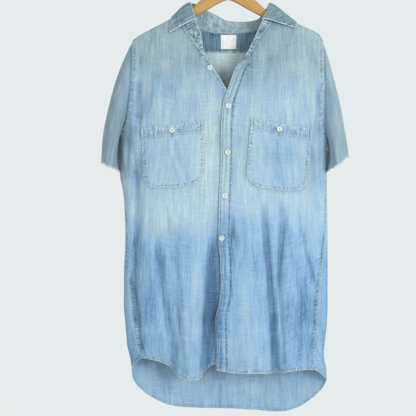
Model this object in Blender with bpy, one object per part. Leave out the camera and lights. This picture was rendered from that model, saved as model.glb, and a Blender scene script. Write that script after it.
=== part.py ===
"""Chambray work shirt with cut-off sleeves, hanging on a flat wooden hanger.

Every cut piece is a thin wall of cloth laid on one body surface. The surface is a stack of
horizontal rings, given by the table RINGS. A place on it is a turn round the body and a drop
below the hook: turn 0 is the middle of the front, 90 the viewer's right, 180 the middle of
the back. Folds push the front and the back in and out. The frame has +X to the viewer's
right, +Y away from the viewer and +Z up. The origin is where the hook hangs, on the inside
of its top. Tables are in millimetres and degrees; the model is in metres.
"""

import math

import bmesh
import bpy
import numpy as np
from mathutils import Matrix, Vector

MM = 0.001

# Driving sizes, in millimetres
CLOTH = 1.4              # wall of one layer of cloth
SEAM = 0.2               # each edge stands this far back from its seam line
LAYER_GAP = 0.4          # between cloth that lies on cloth
POCKET_GAP = 0.9         # a patch pocket stands a little off its front
ROUNDNESS = 2.5          # exponent of the rings: 2 is an ellipse, more is boxier
PLACKET_WIDTH = 27.0
BUTTON_RADIUS = 6.2
BUTTON_THICK = 2.2
HANGER_THICK = 12.0
HOOK_RADIUS = 20.0
WIRE_RADIUS = 1.7

# The body's rings: how far each side of the frame's middle it reaches, and how deep it is
RINGS = {
    "columns": ("drop", "left", "right", "front", "back"),
    "rows": (
        (117, 84.0, 88.0, 13, 11),
        (127, 102.0, 105.5, 15, 13),
        (138, 125.3, 128.8, 18, 15),
        (152, 151.8, 158.7, 21, 17),
        (161, 169.1, 179.4, 23, 18),
        (170, 186.3, 198.9, 25, 19),
        (179, 203.5, 211.0, 26, 20),
        (191, 218.5, 217.3, 28, 22),
        (212, 228.0, 227.7, 31, 24),
        (235, 234.6, 235.8, 34, 26),
        (281, 243.8, 241.5, 39, 29),
        (327, 249.0, 241.5, 43, 31),
        (368, 250.0, 239.2, 46, 32),
        (416, 249.5, 234.6, 48, 33),
        (437, 249.0, 231.0, 49, 33),
        (501, 247.5, 226.4, 50, 34),
        (520, 244.0, 226.6, 50, 34),
        (557, 239.2, 226.8, 50, 34),
        (637, 236.9, 227.7, 50, 34),
        (722, 240.0, 227.7, 50, 34),
        (798, 240.3, 227.7, 50, 35),
        (833, 238.0, 226.5, 49, 35),
        (869, 234.6, 223.1, 49, 35),
        (888, 233.0, 221.0, 48, 35),
        (906, 228.8, 219.2, 48, 35),
        (925, 224.7, 220.8, 47, 35),
        (943, 222.4, 224.5, 46, 35),
        (961, 221.3, 225.0, 45, 35),
        (1055, 218.5, 221.0, 42, 35),
    ),
}

# Side seams: turn from the middle of the front, on each side
SIDE_SEAM = {
    "columns": ("drop", "left", "right"),
    "rows": (
        (416, 90.0, 90.0),
        (437, 89.0, 90.0),
        (500, 86.0, 84.0),
        (620, 81.0, 75.0),
        (700, 77.0, 67.0),
        (760, 66.0, 62.0),
        (825, 61.5, 59.5),
        (885, 58.5, 59.5),
        (915, 55.5, 58.0),
        (945, 55.0, 56.5),
    ),
}

# Armhole seams: distance from the frame's middle
ARMHOLE = {
    "columns": ("drop", "left", "right"),
    "rows": (
        (191, 218.5, 217.3),
        (214, 218.4, 216.8),
        (238, 218.4, 216.4),
        (284, 219.9, 217.4),
        (330, 224.4, 216.8),
        (370, 232.7, 218.0),
        (393, 240.5, 220.2),
        (404, 245.4, 221.8),
        (416, 249.5, 225.0),
        (437, 249.5, 231.0),
    ),
}
SHOULDER_DROP = 191.0
UNDERARM_DROP = {"left": 416.0, "right": 437.0}
# Where the armhole's samples lie between the shoulder point and the underarm
ARMHOLE_STEPS = (0, 0.012, 0.037, 0.067, 0.1, 0.2, 0.33, 0.48, 0.63, 0.77, 0.88, 0.95, 0.985, 1)
YOKE_STEP = 4            # the sample where the yoke's seam meets the armhole

# Inner edges of the two fronts, from the neck end of the shoulder seam to the hem
FRONT_EDGE = {
    "columns": ("drop", "left", "right"),
    "rows": (
        (127, -101.5, 105.0),
        (134, -102.6, 105.2),
        (146, -103.1, 101.6),
        (152, -102.8, 98.9),
        (168, -99.8, 87.0),
        (187, -86.8, 74.0),
        (206, -73.0, 62.0),
        (220, -62.5, 53.5),
        (236, -49.5, 42.5),
        (248, -41.0, 26.5),
        (259, -33.9, 16.5),
        (279, -21.0, 8.1),
        (305, -5.3, -1.0),
        (322, 5.0, -7.0),
        (339, 11.5, -12.3),
        (396, 8.1, -16.9),
        (481, 7.0, -18.0),
        (557, 3.6, -21.4),
        (640, 2.5, -22.5),
        (700, 6.6, -18.4),
        (758, 6.6, -18.4),
        (787, 2.5, -22.5),
        (828, -4.6, -29.6),
        (877, -3.1, -28.1),
        (960, -2.2, -27.2),
    ),
}
BAND_END_DROP = {"left": 229.0, "right": 236.0}     # where the neckband stops
PLACKET_TOP_DROP = 250.0

# The back's neckline, from shoulder to shoulder
BACK_NECK = {
    "columns": ("x", "drop"),
    "rows": (
        (-101.5, 127.0),
        (-99.5, 131.5),
        (-94.0, 138.5),
        (-81.0, 151.0),
        (-60.0, 162.5),
        (-30.0, 167.8),
        (2.0, 168.8),
        (35.0, 167.8),
        (63.0, 162.5),
        (85.0, 151.0),
        (97.5, 138.5),
        (103.0, 131.5),
        (105.0, 127.0),
    ),
}

# Hems of the fronts, by distance from the frame's middle
FRONT_HEM = {
    "columns": ("x", "drop"),
    "left": (
        (-194, 914.5),
        (-172, 918.9),
        (-146, 927.2),
        (-131, 943.2),
        (-118, 955.6),
        (-97, 959.8),
        (-75, 960.6),
        (-59, 944.0),
        (-29, 925.5),
        (10, 925.0),
    ),
    "right": (
        (-28, 939.5),
        (-12, 941.0),
        (16, 945.7),
        (70, 946.4),
        (121, 947.0),
        (147, 942.7),
        (185, 940.4),
        (194, 941.5),
    ),
}

# Hem of the back, by turn: from the right side seam round the tail to the left one
BACK_HEM = {
    "columns": ("turn", "drop"),
    "rows": (
        (56.5, 941.5),
        (62, 945.2),
        (70, 955.6),
        (79, 963.5),
        (90, 971.0),
        (108, 996.4),
        (122, 1017.8),
        (136, 1038.5),
        (149, 1050.0),
        (158, 1051.6),
        (172, 1047.4),
        (182, 1044.0),
        (193, 1043.7),
        (205, 1041.5),
        (215, 1034.0),
        (228, 1018.3),
        (245, 993.6),
        (258, 974.5),
        (270, 957.2),
        (279, 941.0),
        (288, 930.7),
        (304.5, 914.5),
    ),
}

# Folds: each runs straight from its top to its end and pushes the cloth out or in (-)
FOLDS = {
    "columns": ("side", "top_x", "top_drop", "end_x", "end_drop", "half_width", "out",
                "fade_top", "fade_end"),
    "rows": (
        # the wide fold beside the placket and the ridge beside it
        ("front", -34, 590, -48, 960, 17, -13, 170, 0),
        ("front", -82, 640, -86, 960, 24, 7, 150, 0),
        ("front", -163, 600, -122, 960, 10, -8, 110, 0),
        ("front", -206, 420, -214, 870, 9, -7, 70, 60),
        ("front", -222, 330, -196, 560, 8, 4, 60, 90),
        # the two folds of the right front that run together
        ("front", 74, 520, 108, 960, 11, -8, 90, 0),
        ("front", 122, 530, 113, 800, 12, -8, 60, 90),
        ("front", 92, 540, 88, 640, 9, 4, 60, 60),
        ("front", 111, 740, 110, 960, 17, -5, 90, 0),
        ("front", 184, 520, 216, 610, 9, -6, 50, 40),
        ("front", 158, 570, 194, 760, 11, -5, 70, 80),
        ("front", 193, 430, 190, 560, 8, -5, 40, 60),
        ("front", 52, 600, 46, 960, 22, 4, 120, 0),
        # folds that fall from the shoulders and the open neck
        ("front", -150, 215, -172, 400, 16, 4, 50, 80),
        ("front", 120, 190, 62, 330, 14, -4, 40, 70),
        ("front", 207, 280, 203, 440, 8, -4, 60, 60),
        ("front", -205, 250, -204, 400, 9, -4, 50, 60),
        # soft hanging folds of the back
        ("back", -70, 240, -95, 1050, 30, 6, 120, 0),
        ("back", 55, 240, 80, 1050, 26, 7, 120, 0),
        ("back", 5, 215, -10, 900, 18, -6, 60, 250),
        ("back", -150, 330, -160, 1000, 20, -6, 120, 60),
        ("back", 140, 330, 150, 1000, 22, -6, 120, 60),
    ),
}

# The neckband's free edge and the collar leaf's outer edge, by place along the neckline:
# 0 the left end, 3 the left shoulder, 7 the right shoulder, 10 the right end
ROLL = {
    "columns": ("place", "x", "y", "drop"),
    "rows": (
        (0.0, -52.5, -33.5, 231.0),
        (0.6, -58.5, -33.0, 206.0),
        (1.25, -62.5, -31.0, 177.5),
        (1.9, -75.5, -25.0, 149.0),
        (2.45, -82.5, -13.0, 124.0),
        (3.0, -86.5, 0.0, 105.5),
        (3.5, -78.0, 13.0, 105.5),
        (4.0, -59.0, 21.0, 114.5),
        (4.5, -30.0, 25.0, 128.0),
        (5.0, 2.0, 26.5, 142.0),
        (5.5, 36.0, 26.0, 144.0),
        (6.0, 66.0, 22.5, 141.0),
        (6.5, 86.0, 14.0, 125.0),
        (7.0, 95.5, 0.0, 107.0),
        (7.5, 91.0, -13.0, 125.0),
        (8.1, 79.5, -25.5, 147.5),
        (8.8, 65.5, -31.5, 177.0),
        (9.5, 50.5, -34.5, 209.0),
        (10.0, 38.5, -35.0, 234.0),
    ),
}
LEAF_EDGE = {
    "columns": ("place", "turn", "drop"),
    "rows": (
        (1.9, -37.1, 178.0),
        (2.25, -44.8, 166.0),
        (2.6, -56.3, 152.0),
        (3.0, -90.0, 138.0),
        (3.35, -125.8, 147.0),
        (4.0, -157.3, 178.0),
        (4.5, -170.1, 199.0),
        (5.0, -180.0, 207.0),
        (5.5, -189.3, 205.0),
        (6.0, -201.0, 188.0),
        (6.6, -221.4, 162.0),
        (7.0, -259.5, 148.0),
        (7.3, -281.8, 151.5),
        (7.7, -300.3, 159.0),
        (8.1, -313.3, 167.5),
    ),
}
LEAF_THICK = 2.2

# Sleeves: the hem ring's middle and half sizes, and how far the sleeve swells on its way
SLEEVES = {
    "left": {"hem_x": -271.5, "half_width": 17.0, "front": 58.0, "back": 46.0,
             "outer_drop": 467.0, "inner_drop": 489.0, "swell_out": 34.0, "swell_front": 16.0},
    "right": {"hem_x": 256.5, "half_width": 17.0, "front": 56.0, "back": 46.0,
              "outer_drop": 453.0, "inner_drop": 489.0, "swell_out": 13.0, "swell_front": 12.0},
}
SLEEVE_STEPS = (0.1, 0.24, 0.42, 0.62, 0.82, 1.0)
SEAM_RING = {"out": 3.0, "out_under": 0.6, "lift": 1.0, "second_lift": 1.6, "fall": 3.0}
SWELL_INNER = 10.0       # the inner side of a sleeve swells this much
SWELL_RISE = 14.0        # the shoulder's swell is this much higher than halfway, on the left sleeve
FRAY_STRIP = 4.0         # height of the strip that holds the loose threads
FRAY_LENGTH = (5.0, 11.0)
FRAY_LEAN = 0.35         # how far a thread leans, as a share of its length
FRAY_TIP = 0.35          # how wide a thread's tip is, as a share of its foot
FRAY_SEED = {"left": 7, "right": 8}

# Pockets: corners of the outline, going round from the upper inner corner
POCKETS = {
    "left": {"top_outer": (-196.4, 395.7), "top_inner": (-56.3, 379.6),
             "low_inner": (-54.5, 518.0), "low_outer": (-191.5, 531.0)},
    "right": {"top_outer": (189.2, 398.0), "top_inner": (50.1, 374.0),
              "low_inner": (39.5, 522.5), "low_outer": (177.5, 536.5)},
}
POCKET_CORNER = 0.22     # share of the pocket's width that each lower corner rounds off
POCKET_SAG = 5.0

PLACKET_THICK = 1.2
POCKET_THICK = 1.3
ON_FRONT = LAYER_GAP
ON_PLACKET = LAYER_GAP + PLACKET_THICK + LAYER_GAP
ON_POCKET = POCKET_GAP + POCKET_THICK + LAYER_GAP
BUTTONS = {
    "columns": ("name", "x", "drop", "out"),
    "rows": (
        ("button_front_1", -41.8, 259.4, ON_FRONT),
        ("button_front_2", -0.3, 346.4, ON_PLACKET),
        ("button_front_3", -2.2, 450.4, ON_PLACKET),
        ("button_front_4", -8.5, 548.0, ON_PLACKET),
        ("button_front_5", -14.7, 642.0, ON_PLACKET),
        ("button_pocket_left", -126.0, 401.1, ON_POCKET),
        ("button_pocket_right", 113.8, 398.4, ON_POCKET),
    ),
}

# The hanger's arms: height of the upper and the lower edge, by distance from its middle
HANGER = {
    "columns": ("x", "top", "bottom"),
    "rows": (
        (-208.0, 195.0, 198.0),
        (-206.0, 188.8, 202.0),
        (-198.0, 185.0, 201.5),
        (-186.0, 178.6, 195.5),
        (-160.0, 165.4, 182.5),
        (-125.0, 145.6, 163.5),
        (-104.0, 134.2, 151.6),
        (-83.0, 116.5, 138.6),
        (-64.0, 98.5, 128.2),
        (-40.0, 80.0, 115.4),
        (-18.0, 66.5, 103.0),
        (0.0, 63.0, 96.5),
        (18.0, 66.5, 103.0),
        (40.0, 80.0, 115.4),
        (64.0, 98.5, 128.2),
        (83.0, 116.5, 138.6),
        (104.0, 133.4, 151.6),
        (125.0, 143.4, 163.0),
        (160.0, 158.8, 179.5),
        (180.0, 168.8, 189.5),
        (196.0, 179.8, 197.5),
        (204.0, 187.0, 200.0),
        (206.5, 193.0, 197.0),
    ),
}

COLOURS = {
    "cloth_pale": (0.40, 0.55, 0.62, 1.0),
    "cloth_blue": (0.25, 0.43, 0.60, 1.0),
    "thread": (0.62, 0.72, 0.74, 1.0),
    "button": (0.72, 0.74, 0.72, 1.0),
    "label": (0.86, 0.87, 0.86, 1.0),
    "wood": (0.62, 0.36, 0.12, 1.0),
    "metal": (0.60, 0.60, 0.62, 1.0),
}


def clear_scene():
    for item in list(bpy.data.objects):
        bpy.data.objects.remove(item, do_unlink=True)


# ---------------------------------------------------------------- smooth tables

def smooth(xs, ys, at):
    """A smooth curve through the rows of a table, which never swings past them."""
    xs = np.asarray(xs, dtype=float)
    ys = np.asarray(ys, dtype=float)
    at = np.clip(np.asarray(at, dtype=float), xs[0], xs[-1])
    step = np.diff(xs)
    rise = np.diff(ys) / step
    slope = np.zeros_like(ys)
    slope[1:-1] = np.where(rise[:-1] * rise[1:] > 0,
                           2 * rise[:-1] * rise[1:] / (rise[:-1] + rise[1:] + 1e-12), 0.0)
    slope[0], slope[-1] = rise[0], rise[-1]
    i = np.clip(np.searchsorted(xs, at, side="right") - 1, 0, len(xs) - 2)
    t = (at - xs[i]) / step[i]
    return ((2 * t**3 - 3 * t**2 + 1) * ys[i] + (t**3 - 2 * t**2 + t) * step[i] * slope[i]
            + (3 * t**2 - 2 * t**3) * ys[i + 1] + (t**3 - t**2) * step[i] * slope[i + 1])


def read(table, column, at, rows="rows"):
    """One column of a table at any value of its first column."""
    place = table["columns"].index(column)
    first = [row[0] for row in table[rows]]
    return smooth(first, [row[place] for row in table[rows]], at)


def ease(value, low, high):
    """0 below low, 1 above high and an even S between them."""
    t = np.clip((np.asarray(value, dtype=float) - low) / (high - low), 0, 1)
    return t * t * (3 - 2 * t)


# ---------------------------------------------------------------- the body surface

def folds(side, x, drop):
    """How far the folds of one side push the cloth out."""
    out = np.zeros(np.broadcast(x, drop).shape)
    for row in FOLDS["rows"]:
        fold = dict(zip(FOLDS["columns"], row))
        if fold["side"] != side:
            continue
        length = fold["end_drop"] - fold["top_drop"]
        middle = fold["top_x"] + (fold["end_x"] - fold["top_x"]) * (drop - fold["top_drop"]) / length
        share = ease(drop, fold["top_drop"], fold["top_drop"] + fold["fade_top"])
        if fold["fade_end"]:
            share = share * (1 - ease(drop, fold["end_drop"] - fold["fade_end"], fold["end_drop"]))
        out = out + fold["out"] * share * np.exp(-((x - middle) / fold["half_width"]) ** 2)
    return out


def ring(drop):
    left, right = read(RINGS, "left", drop), read(RINGS, "right", drop)
    return (right - left) / 2, (right + left) / 2


def body(turn, drop):
    """Point of the body's outer surface, in millimetres, turn in degrees."""
    turn, drop = np.broadcast_arrays(np.asarray(turn, float), np.asarray(drop, float))
    middle, half = ring(drop)
    sine, cosine = np.sin(np.radians(turn)), np.cos(np.radians(turn))
    x = middle + half * np.sign(sine) * np.abs(sine) ** (2 / ROUNDNESS)
    round_off = np.abs(cosine) ** (2 / ROUNDNESS)
    flat = np.minimum(1.0, np.abs(cosine) * 1.8)
    front = read(RINGS, "front", drop) * round_off + folds("front", x, drop) * flat
    back = read(RINGS, "back", drop) * round_off + folds("back", x, drop) * flat
    return np.stack([x, np.where(cosine >= 0, -front, back), -drop], axis=-1)


def body_normal(turn, drop):
    around = body(np.add(turn, 1.0), drop) - body(np.add(turn, -1.0), drop)
    down = body(turn, np.add(drop, 1.5)) - body(turn, np.add(drop, -1.5))
    across = np.cross(down, around)
    return across / np.linalg.norm(across, axis=-1, keepdims=True)


def turn_at(x, drop, back=False):
    """The turn at which the ring at this drop reaches x, on its front or its back."""
    middle, half = ring(drop)
    share = np.clip((np.asarray(x, float) - middle) / half, -1, 1)
    turn = np.degrees(np.arcsin(np.sign(share) * np.abs(share) ** (ROUNDNESS / 2)))
    return 180 - turn if back else turn


def armhole_turn(side, drop):
    """The armhole seam's turn away from the middle of the front, for either side."""
    x = read(ARMHOLE, side, drop)
    sign = -1 if side == "left" else 1
    turn = np.abs(turn_at(sign * x, drop))
    ends = (drop <= SHOULDER_DROP + 0.01) | (drop >= UNDERARM_DROP[side] - 0.01)
    return np.where(ends, 90.0, turn)


def lift(points, normals, out):
    return points + normals * np.asarray(out)[..., None]


# ---------------------------------------------------------------- walls of cloth

def material(name):
    mat = bpy.data.materials.get(name)
    if mat is None:
        mat = bpy.data.materials.new(name)
        mat.use_nodes = True
        shader = mat.node_tree.nodes["Principled BSDF"]
        shader.inputs["Base Color"].default_value = COLOURS[name]
        shader.inputs["Roughness"].default_value = {"metal": 0.3, "button": 0.35}.get(name, 0.85)
        shader.inputs["Metallic"].default_value = 1.0 if name == "metal" else 0.0
    return mat


def finish(name, bm, colour, smooth_angle=50):
    bmesh.ops.recalc_face_normals(bm, faces=bm.faces)
    mesh = bpy.data.meshes.new(name)
    bm.to_mesh(mesh)
    bm.free()
    mesh.materials.append(material(colour))
    mesh.shade_smooth()
    mesh.set_sharp_from_angle(angle=math.radians(smooth_angle))
    item = bpy.data.objects.new(name, mesh)
    bpy.context.scene.collection.objects.link(item)
    return item


def pull_in(points, by, sides):
    """Moves the named sides of a grid of points inwards along the grid."""
    points = points.copy()
    ends = {"top": ((0, slice(None)), (1, slice(None))), "low": ((-1, slice(None)), (-2, slice(None))),
            "first": ((slice(None), 0), (slice(None), 1)), "last": ((slice(None), -1), (slice(None), -2))}
    for side in sides:
        edge, inner = ends[side]
        way = points[inner] - points[edge]
        length = np.linalg.norm(way, axis=-1, keepdims=True)
        points[edge] = points[edge] + way / np.maximum(length, 1e-6) * np.minimum(by, length / 2)
    return points


def sheet(bm, points):
    """One face of a wall: a grid of faces whose corners are moved to the given points."""
    rows, columns = points.shape[:2]
    made = bmesh.ops.create_grid(bm, x_segments=columns - 1, y_segments=rows - 1, size=1.0)
    corners = sorted(made["verts"], key=lambda v: (round(v.co.y, 5), round(v.co.x, 5)))
    for corner, point in zip(corners, points.reshape(-1, 3)):
        corner.co = point * MM
    return corners


def wall(name, outer, normals, thick, colour, tube=False):
    """A closed wall: the outer grid, the same grid moved inwards, and a rim that joins them."""
    bm = bmesh.new()
    first_rows = []
    for points in (outer, lift(outer, normals, -np.broadcast_to(thick, outer.shape[:2]))):
        corners = sheet(bm, points)
        first_rows += corners[:outer.shape[1]]
        if tube:
            bmesh.ops.remove_doubles(bm, verts=corners, dist=1e-6)
    rims = [edge for edge in bm.edges if edge.is_boundary]
    if tube:
        first = {vert for vert in first_rows if vert.is_valid}
        for wanted in (True, False):
            loops = [edge for edge in rims if (edge.verts[0] in first) == wanted]
            bmesh.ops.bridge_loops(bm, edges=loops)
    else:
        bmesh.ops.bridge_loops(bm, edges=rims)
    return finish(name, bm, colour)


def panel(turns, drops, sides, name, colour, out=0.0, thick=CLOTH):
    """A wall laid on the body surface, with its seamed sides pulled in."""
    points = lift(body(turns, drops), body_normal(turns, drops), np.broadcast_to(out, turns.shape))
    return wall(name, pull_in(points, SEAM, sides), body_normal(turns, drops), thick, colour)


# ---------------------------------------------------------------- fronts, back and yoke

NECK_DROPS = (129, 133, 139, 146, 154, 163, 172, 181, SHOULDER_DROP)
BODY_DROPS = (480, 525, 570, 615, 660, 705, 750, 795, 835, 872)
HEM_STEPS = (0.35, 0.7, 1.0)
# Columns of the fronts near the closing, by distance from the free edge; the two fronts share
# their lines where they lie on each other. The other columns are evenly spaced.
EDGE_COLUMNS = {"left": (0, 12.5, 25, 33, 42, 53, 66, 80), "right": (0, 12.5, 25, 38, 54, 70, 86, 102)}
FRONT_COLUMNS = 17
FULL_WIDTH = 230.0       # where the front is narrower than this, those columns draw together


def armhole_drops(side):
    return np.array([SHOULDER_DROP + (UNDERARM_DROP[side] - SHOULDER_DROP) * f for f in ARMHOLE_STEPS])


def side_turn(side, drop):
    """Turn of the front's outer edge: shoulder seam, then armhole, then side seam."""
    if drop <= SHOULDER_DROP:
        return 90.0
    if drop <= UNDERARM_DROP[side]:
        return float(armhole_turn(side, drop))
    return float(read(SIDE_SEAM, side, drop))


def walk(start, end, drop):
    """Turns from start to end with the distance walked at each, round one ring."""
    turns = np.linspace(start, end, 241)
    steps = np.linalg.norm(np.diff(body(turns, drop), axis=0), axis=1)
    return turns, np.concatenate([[0], np.cumsum(steps)])


def front_row(side, drop):
    """Turns of one row of a front, from its outer seam to its free edge."""
    sign = -1 if side == "left" else 1
    inner = float(turn_at(read(FRONT_EDGE, side, drop), drop))
    turns, walked = walk(inner, sign * side_turn(side, drop), drop)
    near = np.array(EDGE_COLUMNS[side]) * min(1.0, walked[-1] / FULL_WIDTH)
    far = np.linspace(near[-1], walked[-1], FRONT_COLUMNS - len(near) + 1)[1:]
    return np.interp(np.concatenate([near, far]), walked, turns)[::-1]


def seam_low(side):
    """Drop of the side seam's lower end."""
    return BACK_HEM["rows"][-1 if side == "left" else 0][1]


def front_grid(side):
    """Turns and drops of one front, row by row from the neck to the hem."""
    drops = np.concatenate([NECK_DROPS[:-1], armhole_drops(side), BODY_DROPS])
    turns = np.array([front_row(side, drop) for drop in drops])
    drops = np.repeat(drops[:, None], FRONT_COLUMNS, axis=1)
    last = BODY_DROPS[-1]
    hem = read(FRONT_HEM, "drop", body(turns[-1], seam_low(side))[:, 0], rows=side)
    hem[0] = seam_low(side)
    for step in HEM_STEPS:
        row = last + (hem - last) * step
        turns = np.vstack([turns, front_row(side, row[0])])
        drops = np.vstack([drops, row])
    return turns, drops


LAP_START, LAP_FULL = 30.0, 5.0      # it sinks between these distances from the upper front's edge
LAP_DROPS = (255.0, 300.0)           # and below the open neck


def under_lap(x, drop):
    """How far the under front is pressed in where the upper one covers it."""
    edge = read(FRONT_EDGE, "right", drop)
    reach = ease(x, edge - LAP_START, edge - LAP_FULL)
    return -(CLOTH + 2 * LAYER_GAP) * reach * ease(drop, *LAP_DROPS)


def make_fronts():
    turns, drops = front_grid("left")
    lap = under_lap(body(turns, drops)[..., 0], drops)
    panel(turns, drops, ("first", "last", "top"), "front_left", "cloth_pale", out=lap)
    turns, drops = front_grid("right")
    panel(turns, drops, ("first", "last", "top"), "front_right", "cloth_pale")


BACK_COLUMNS = 29


def make_back():
    """From the yoke seam to the tail, from the right side seam round to the left one."""
    share = np.linspace(0, 1, BACK_COLUMNS)

    def row(right, left):
        """Turns and drops of a row whose two ends lie at the given drops."""
        ends = [side_turn("right", right), side_turn("left", left)]
        if right <= UNDERARM_DROP["right"]:
            ends[0] = 180 - ends[0]
        if left <= UNDERARM_DROP["left"]:
            ends[1] = 180 - ends[1]
        turns, walked = walk(ends[0], 360 - ends[1], (right + left) / 2)
        return np.interp(share * walked[-1], walked, turns), right + (left - right) * share

    arm = zip(armhole_drops("right")[YOKE_STEP:], armhole_drops("left")[YOKE_STEP:])
    rows = [row(*pair) for pair in arm] + [row(drop, drop) for drop in BODY_DROPS]
    last = BODY_DROPS[-1]
    low = (seam_low("right"), seam_low("left"))
    for step in HEM_STEPS:
        turns, _ = row(*(last + (drop - last) * step for drop in low))
        hem = read(BACK_HEM, "drop", turns)
        hem[0], hem[-1] = low
        rows.append((turns, last + (hem - last) * step))
    turns, drops = (np.array(part) for part in zip(*rows))
    panel(turns, drops, ("first", "last", "top"), "back", "cloth_blue")


def neck_samples():
    """The back's neckline from the left shoulder to the right, as turns and drops."""
    places = np.linspace(0, len(BACK_NECK["rows"]) - 1, 19)
    index = np.arange(len(BACK_NECK["rows"]))
    x = smooth(index, [row[0] for row in BACK_NECK["rows"]], places)
    drop = smooth(index, [row[1] for row in BACK_NECK["rows"]], places)
    return turn_at(x, drop, back=True), drop


def make_yoke():
    """Columns run from the shoulder seams and the neckline down to the yoke's seam."""
    neck_turn, neck_drop = neck_samples()
    ridge = np.array(NECK_DROPS, dtype=float)
    top_turn = np.concatenate([np.full(len(ridge), 270.0), neck_turn, np.full(len(ridge), 90.0)])
    top_drop = np.concatenate([ridge[::-1], neck_drop, ridge])
    top_x = body(top_turn, top_drop)[:, 0]
    low_drop = {side: armhole_drops(side)[YOKE_STEP] for side in ("left", "right")}
    ends = [float(read(ARMHOLE, "left", low_drop["left"])) * -1,
            float(read(ARMHOLE, "right", low_drop["right"]))]
    low_x = ends[0] + (top_x - top_x[0]) / (top_x[-1] - top_x[0]) * (ends[1] - ends[0])
    share = (low_x - ends[0]) / (ends[1] - ends[0])
    low = low_drop["left"] + (low_drop["right"] - low_drop["left"]) * share
    steps = np.array(ARMHOLE_STEPS[:YOKE_STEP + 1]) / ARMHOLE_STEPS[YOKE_STEP]
    drops = top_drop + (low - top_drop) * steps[:, None]
    x = top_x + (low_x - top_x) * steps[:, None]
    turns = turn_at(x, drops, back=True)
    turns[0] = top_turn
    turns[:, 0] = 180 + armhole_turn("left", drops[:, 0])
    turns[:, -1] = 180 - armhole_turn("right", drops[:, -1])
    panel(turns, drops, ("top", "low", "first", "last"), "yoke", "cloth_pale")


# ---------------------------------------------------------------- sleeves

def bend(start, control, end, t):
    return (1 - t) ** 2 * start + 2 * t * (1 - t) * control + t * t * end


def sleeve_grid(side):
    """Rings of one sleeve, each starting at the shoulder and going round by the front."""
    sign = -1 if side == "left" else 1
    size = SLEEVES[side]
    drop = armhole_drops(side)
    front = np.stack([sign * armhole_turn(side, drop), drop])
    back = np.stack([180 - front[0, -2:0:-1], drop[-2:0:-1]])
    turn, drop = np.concatenate([front, back], axis=1)
    edge, facing = body(turn, drop), body_normal(turn, drop)
    count = len(drop)

    # the way out of the panel, in its own surface, across the seam line
    along = np.roll(edge, -1, axis=0) - np.roll(edge, 1, axis=0)
    leave = np.cross(along, facing)
    leave /= np.linalg.norm(leave, axis=1, keepdims=True)
    leave *= np.sign((leave * (edge - edge.mean(axis=0))).sum(axis=1))[:, None] * -1

    fraction = np.array(ARMHOLE_STEPS)
    under = np.concatenate([fraction, fraction[-2:0:-1]])
    beside = ease(under, 0.6, 0.9)[:, None]
    seam = SEAM_RING
    start = edge + leave * (LAYER_GAP + SEAM) + facing * beside * seam["lift"]
    second = (edge + leave * (seam["out"] + (seam["out_under"] - seam["out"]) * beside)
              + facing * beside * seam["second_lift"])
    second[:, 2] -= seam["fall"] * beside[:, 0]

    angle = 2 * math.pi * np.arange(count) / count
    depth = np.where(np.sin(angle) > 0, size["front"], size["back"])
    hem_drop = size["outer_drop"] + (size["inner_drop"] - size["outer_drop"]) * (1 - np.cos(angle)) / 2
    hem = np.stack([size["hem_x"] + sign * size["half_width"] * np.cos(angle),
                    -depth * np.sin(angle), -hem_drop], axis=1)
    control = (second + hem) / 2
    outer = np.clip(np.cos(angle), 0, 1)
    inner = np.clip(-np.cos(angle), 0, 1) ** 2
    control[:, 0] += sign * (size["swell_out"] * outer + SWELL_INNER * inner)
    control[:, 1] -= size["swell_front"] * np.clip(np.sin(angle), 0, 1)
    control[:, 2] -= SWELL_RISE * outer * size["swell_out"] / SLEEVES["left"]["swell_out"]
    rings = [start, second] + [bend(second, control, hem, t) for t in SLEEVE_STEPS]
    grid = np.array(rings)
    normals = ring_normals(grid)
    for index in (0, 1):
        mixed = facing * (1 - beside) + normals[index] * beside
        normals[index] = mixed / np.linalg.norm(mixed, axis=1, keepdims=True)
    return grid, normals


def ring_normals(grid):
    """Outward normals of a tube given as rings from its top to its foot."""
    around = np.roll(grid, -1, axis=1) - np.roll(grid, 1, axis=1)
    along = np.empty_like(grid)
    along[1:-1] = grid[2:] - grid[:-2]
    along[0], along[-1] = grid[1] - grid[0], grid[-1] - grid[-2]
    normals = np.cross(around, along)
    middle = grid.mean(axis=1, keepdims=True)
    facing = np.sign(((grid - middle) * normals).sum(axis=(1, 2)))[:, None, None]
    normals = normals * facing
    return normals / np.linalg.norm(normals, axis=2, keepdims=True)


def closed(grid):
    return np.concatenate([grid, grid[:, :1]], axis=1)


def make_sleeve(side):
    grid, normals = sleeve_grid(side)
    wall("sleeve_" + side, closed(grid), closed(normals), CLOTH, "cloth_pale", tube=True)
    make_fray(side, grid[-1], grid[-1] - grid[-2], normals[-1])


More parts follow.
